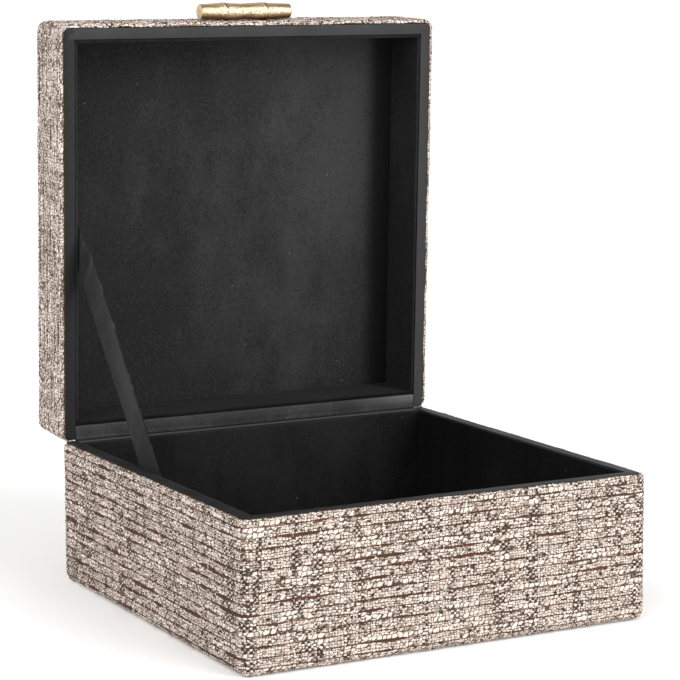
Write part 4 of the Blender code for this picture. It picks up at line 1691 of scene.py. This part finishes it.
@dataclass
class BambooBar:
    """The gilt bar shaped like bamboo: three canes, two grooved nodes, flat ends and two posts."""

    name: str = "handle_gilt_bar"
    length: float = 0.061
    radius: float = 0.0049
    waist: float = 0.0047
    standoff: float = 0.0056
    rise: float = 0.014
    node_at: float = 0.0135
    flare: float = 0.00090
    flare_inward: float = 0.0105
    flare_outward: float = 0.0070
    ridge: float = 0.00024
    ridge_width: float = 0.0005
    groove: float = 0.00032
    groove_at: float = 0.0011
    groove_width: float = 0.00042
    slant: float = 0.0022
    dent: float = 0.00014
    dents: int = 420
    dent_reach: float = 0.0016
    dents_end: float = 0.032
    waver: float = 0.00005
    cuts: int = 240
    end_inset: float = 0.0004
    end_rings: Point = (0.0005, 0.0007, 0.0015)
    end_hollow: float = 0.00012
    post_radius: float = 0.0025
    post_at: float = 0.016
    collar: Pair = (-0.0007, 0.0002)
    collar_width: float = 0.0007
    seed: int = 83

    @property
    def middle(self) -> Point:
        """Middle of the bar in the lid's tray frame."""
        return 0.0, -DEPTH / 2 - self.standoff, self.rise

    @property
    def axis(self) -> Vector:
        """Middle of the bar in the row frame."""
        return LID_SEAT.matrix @ Vector(self.middle)

    def swell(self, x: np.ndarray) -> np.ndarray:
        """Works out the radius of the bar.

        Args:
            x: Places along it.

        Returns:
            The radius at each.
        """
        inward = self.node_at - np.abs(x)
        away = np.abs(inward)
        fade = np.where(inward > 0, self.flare_inward, self.flare_outward)
        rise = self.flare * np.exp(-((away / fade) ** 1.2))
        rise = rise + self.ridge * np.exp(-((away / self.ridge_width) ** 2))
        groove = self.groove * np.exp(-(((away - self.groove_at) / self.groove_width) ** 2))
        return self.waist + rise - groove

    def facets(self, points: np.ndarray, around: np.ndarray) -> np.ndarray:
        """Spreads the hammered dents.

        Args:
            points: Points of the bar.
            around: Their angles about it.

        Returns:
            How deep each point lies in a dent, from 0 to 1.
        """
        rng = np.random.default_rng(self.seed)
        places = rng.uniform(-self.dents_end, self.dents_end, self.dents)
        angles = rng.uniform(-math.pi, math.pi, self.dents)
        near = np.ones(len(points))
        for x, angle in zip(places, angles):
            turn = np.abs((around - angle + math.pi) % math.tau - math.pi) * self.radius
            near = np.minimum(near, np.hypot((points[:, 0] - x) * 1.25, turn))
        return 1 - np.clip(near / self.dent_reach, 0, 1) ** 1.5

    def bar(self) -> Piece:
        """Models the bar from a cylinder primitive, with hammered facets.

        Returns:
            The bar, in the lid's tray frame.
        """
        obj = add_primitive(
            bpy.ops.mesh.primitive_cylinder_add,
            vertices=96,
            radius=self.radius,
            depth=self.length,
            rotation=(0, QUARTER, 0),
        )
        divide(obj, Axis.X, self.cuts)
        with editing(obj, "FACE", lambda face: len(face.verts) > 4):
            for thickness in self.end_rings:
                bpy.ops.mesh.inset(thickness=thickness)
        points = points_of(obj)
        x, y, z = points.T
        around, reach = np.arctan2(z, y), np.hypot(y, z)
        radius = self.swell(x - self.slant * np.minimum(np.cos(around), 0.0))
        radius += self.waver * ripple(points, 0.004, self.seed + 1) - self.dent * self.facets(points, around)
        end = np.abs(x) > self.length / 2 - 0.0001
        radius = np.where(end, self.radius - self.end_inset, radius)
        skin = reach > self.radius - 0.0001
        hollow = end & (reach < self.radius - 2 * self.end_inset)
        points[:, 1:] *= np.where(skin, radius / np.maximum(reach, 1e-9), 1.0)[:, None]
        points[hollow, 0] -= self.end_hollow * np.sign(points[hollow, 0])
        move_points(obj, points + self.middle)
        soften(obj, 60.0)
        return obj

    def post(self, x: float) -> Piece:
        """Models one post, with a small collar where it meets the cloth.

        Args:
            x: Its place along the bar.

        Returns:
            The post, in the lid's tray frame.
        """
        obj = add_primitive(
            bpy.ops.mesh.primitive_cylinder_add,
            vertices=32,
            radius=self.post_radius,
            depth=self.standoff + CLOTH,
            location=(x, (CLOTH - DEPTH - self.standoff) / 2, self.rise),
            rotation=(QUARTER, 0, 0),
        )
        for level in self.collar:
            slice_at(obj, (0, level - DEPTH / 2, 0), (0, 1, 0))
        middle = sum(self.collar) / 2 - DEPTH / 2
        growth = {"value": self.collar_width}
        with editing(obj, "FACE", lambda face: abs(face.calc_center_median().y - middle) < 0.0003):
            bpy.ops.mesh.extrude_region_shrink_fatten(TRANSFORM_OT_shrink_fatten=growth)
        round_edges(obj, 0.00015, 2)
        soften(obj, 40.0)
        return obj

    def build(self) -> Piece:
        """Models the bar and its posts as one piece.

        Returns:
            The object, in the row frame.
        """
        obj = join([self.bar(), self.post(-self.post_at), self.post(self.post_at)], self.name)
        seat_down(obj, LID_SEAT)
        return obj

    def finish_plain_parts(self, obj: Piece, ends: bpy.types.Material, posts: bpy.types.Material) -> None:
        """Gives the flat ends and the posts their own finishes.

        Args:
            obj: The whole handle, in the row frame.
            ends: Finish of the bar's ends.
            posts: Finish of the posts.
        """
        obj.data.materials.append(ends)
        obj.data.materials.append(posts)
        for face in obj.data.polygons:
            away = face.center - self.axis
            inside = away.z < 0 and math.hypot(away.y, away.z) < 0.8 * self.radius
            if abs(face.normal.x) > 0.9 and abs(away.x) > self.length / 2 - 0.0008:
                face.material_index = 1
            elif inside or away.z < -1.02 * self.radius:
                face.material_index = 2


# The whole box


@dataclass
class TweedCover:
    """All of the outer tweed, on both halves and across the hinge."""

    finish: TweedFinish = TweedFinish()
    # The lid's walls get paler colours and a whiter left wall: painted light, as the lid stands higher in
    # the light than the base.
    lid_lit_finish: TweedFinish = TweedFinish(
        white=(0.86, 0.745, 0.675),
        cream=(0.82, 0.69, 0.61),
        blush=(0.66, 0.53, 0.45),
        left_slubs=1.2,
        left_painted_light=0.12,
    )
    back_boards: tuple[str, ...] = ("base_back_board", "lid_back_board")

    def build(self) -> None:
        """Models and dresses the cloth."""
        base, lid = TweedWalls(BASE_SEAT, 11), TweedWalls(LID_SEAT, 23)
        tweed, lid_tweed_lit = self.finish.material("tweed"), self.lid_lit_finish.material("tweed_lid_walls_lit")
        for walls, material in ((base, tweed), (lid, lid_tweed_lit)):
            name = walls.seat.name
            obj = walls.build()
            dress(obj, material, f"{name}_cloth_wrap", walls.seat.half)
            walls.cut_size()
        top = LidTopCloth()
        obj = top.build()
        dress(obj, tweed, "lid_cloth_wrap", Half.LID)
        hem = BaseHem()
        obj = hem.build()
        dress(obj, tweed, "base_cloth_wrap", Half.BASE)
        hinge = HingeTweed(base, lid)
        obj = hinge.build()
        dress(obj, tweed, "hinge_cloth")
        blend_across(obj)


@dataclass
class SuedeJoint:
    """The suede that crosses from base to lid: the hinge strip and the stay ribbon."""

    # The strip's fold at HINGE_Z paints it lighter above the hinge's level and dark just below: painted
    # light and painted shade.
    strip_finish: SuedeFinish = SuedeFinish(
        colour=(0.021, 0.021, 0.021), brushed=(0.050, 0.050, 0.050), patch=30.0, depth=0.85, fold=HINGE_Z
    )
    ribbon_finish: SuedeFinish = SuedeFinish(
        colour=(0.0155, 0.0155, 0.0165),
        brushed=(0.036, 0.036, 0.037),
        patch=26.0,
        depth=0.7,
        cut_edge=0.0108,
    )

    def build(self) -> None:
        """Models and dresses both pieces."""
        strip = HingeStrip()
        sheet = strip.build()
        dress(sheet, self.strip_finish.material("hinge_strip_nap"), "hinge_strip")
        blend_across(sheet)
        stay = StayRibbon()
        ribbon = stay.build()
        dress(ribbon, self.ribbon_finish.material("stay_ribbon_nap"), "stay_ribbon")
        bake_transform(ribbon)
        size = (stay.width, stay.length)


@dataclass
class HiddenParts:
    """CAD nodes that keep their shape and get a procedural finish."""

    board: Finish = FibreFinish((0.30, 0.215, 0.135), (0.44, 0.34, 0.23), 260.0)
    felt: Finish = FibreFinish((0.012, 0.012, 0.013), (0.034, 0.034, 0.036), 700.0)
    steel: Finish = SatinMetalFinish((0.56, 0.56, 0.57), (0.40, 0.40, 0.42), 0.34)

    def build(self) -> None:
        """Dresses every node by the end of its name. Those that a piece replaces get the board's finish."""
        kinds = {"screw": ("steel", self.steel), "pad": ("felt", self.felt)}
        for name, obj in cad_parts.items():
            kind, finish = kinds.get(name.split("_")[-1], ("board", self.board))
            cover(obj, finish.material(f"{name}_{kind}"))
            LOG.info("%s: finished as %s", name, kind)


@dataclass
class Studio:
    """Camera, pale floor and soft light."""

    location: Point = (-0.66845, -1.25767, 0.36301)
    turn: Point = (82.5797, 0.2390, -28.0593)
    lens: float = 131.1744
    shift: Pair = (-0.00759, -0.05882)
    paper: Colour = (0.985, 0.985, 0.985)
    sky: float = 0.64

    def camera(self) -> None:
        """Adds the camera at the photograph's viewing angle."""
        data = bpy.data.cameras.new("camera")
        data.lens = self.lens
        data.shift_x, data.shift_y = self.shift
        obj = add_object("camera", data)
        obj.location = self.location
        obj.rotation_euler = tuple(math.radians(angle) for angle in self.turn)
        bpy.context.scene.camera = obj

    def lamp(self, name: str, location: Point, aim: Point, size: float, power: float) -> None:
        """Adds a square soft light.

        Args:
            name: Its name.
            location: Its place.
            aim: The point that it faces.
            size: Length of its sides.
            power: Its power in watts.
        """
        data = bpy.data.lights.new(name, "AREA")
        data.size = size
        data.energy = power
        obj = add_object(name, data)
        obj.location = location
        obj.rotation_euler = (Vector(aim) - Vector(location)).to_track_quat("-Z", "Y").to_euler()

    def sun(self, name: str, towards: Point, strength: float, spread: float) -> None:
        """Adds a distant soft light.

        Args:
            name: Its name.
            towards: Direction that it comes from.
            strength: Its strength.
            spread: Angle that it spreads over, in degrees.
        """
        data = bpy.data.lights.new(name, "SUN")
        data.energy = strength
        data.angle = math.radians(spread)
        add_object(name, data).rotation_euler = Vector(towards).to_track_quat("Z", "Y").to_euler()

    def floor(self) -> None:
        """Adds the pale floor."""
        bpy.ops.mesh.primitive_grid_add(x_subdivisions=8, y_subdivisions=8, size=120, location=(0, 0, 0))
        obj = bpy.context.object
        obj.name = "studio_floor"
        mix = Recipe("studio_floor")
        mix.set(Base_Color=self.paper, Roughness=0.9)
        mix.set(Emission_Color=(1.0, 1.0, 1.0), Emission_Strength=0.10)
        cover(obj, mix.material)

    def build(self) -> None:
        """Sets the stage."""
        scene = bpy.context.scene
        scene.view_settings.view_transform = "Standard"
        scene.world = bpy.data.worlds.new("studio")
        scene.world.use_nodes = True
        inputs = scene.world.node_tree.nodes["Background"].inputs
        inputs["Color"].default_value = (1.0, 1.0, 1.0, 1.0)
        inputs["Strength"].default_value = self.sky
        self.floor()
        self.sun("key", (0.42, -0.85, 0.50), 1.86, 40.0)
        self.sun("fill", (-1.0, -0.35, 0.70), 1.42, 60.0)
        self.lamp("handle_glint", (0.78, -1.45, 0.28), (0.0, 0.12, 0.345), 0.4, 4.0)


def main() -> None:
    """Builds the scene piece by piece."""
    logging.basicConfig(level=logging.INFO, format="%(message)s")
    studio = Studio()
    studio.camera()
    HiddenParts().build()
    TweedCover().build()
    # Each card's suede is darkened by its own factor: painted shade for how deep it lies and which way it
    # faces.
    base_cards = SuedeCards(BASE_SEAT, "floor", 101)
    base_cards.build({"floor": 0.6, "front": 0.45, "back": 0.42, "left": 0.4, "right": 0.25})
    # The lid's panel is painted lighter towards +x and its top, with a painted shadow band by its right
    # wall.
    lid_cards = SuedeCards(LID_SEAT, "top", 131, (1.40, 0.75))
    lid_cards.build({"top": 0.86, "front": 0.5, "back": 0.27, "left": 0.7, "right": 0.6})
    RimBindings(BASE_SEAT, 151).build()
    # The lid's front and left rims are darkened as painted shade.
    RimBindings(LID_SEAT, 171).build(front=0.97, left=0.70)
    SuedeJoint().build()
    bar = BambooBar()
    handle = bar.build()
    gilt = GiltFinish(middle=bar.axis.y, level=bar.axis.z).material("gilt")
    dress(handle, gilt, "handle_bar", Half.LID)
    aged = SatinMetalFinish((0.20, 0.13, 0.06), (0.10, 0.065, 0.03), 0.5)
    bar.finish_plain_parts(handle, SatinMetalFinish().material("gilt_ends"), aged.material("gilt_posts"))
    studio.build()


if __name__ == "__main__":
    main()
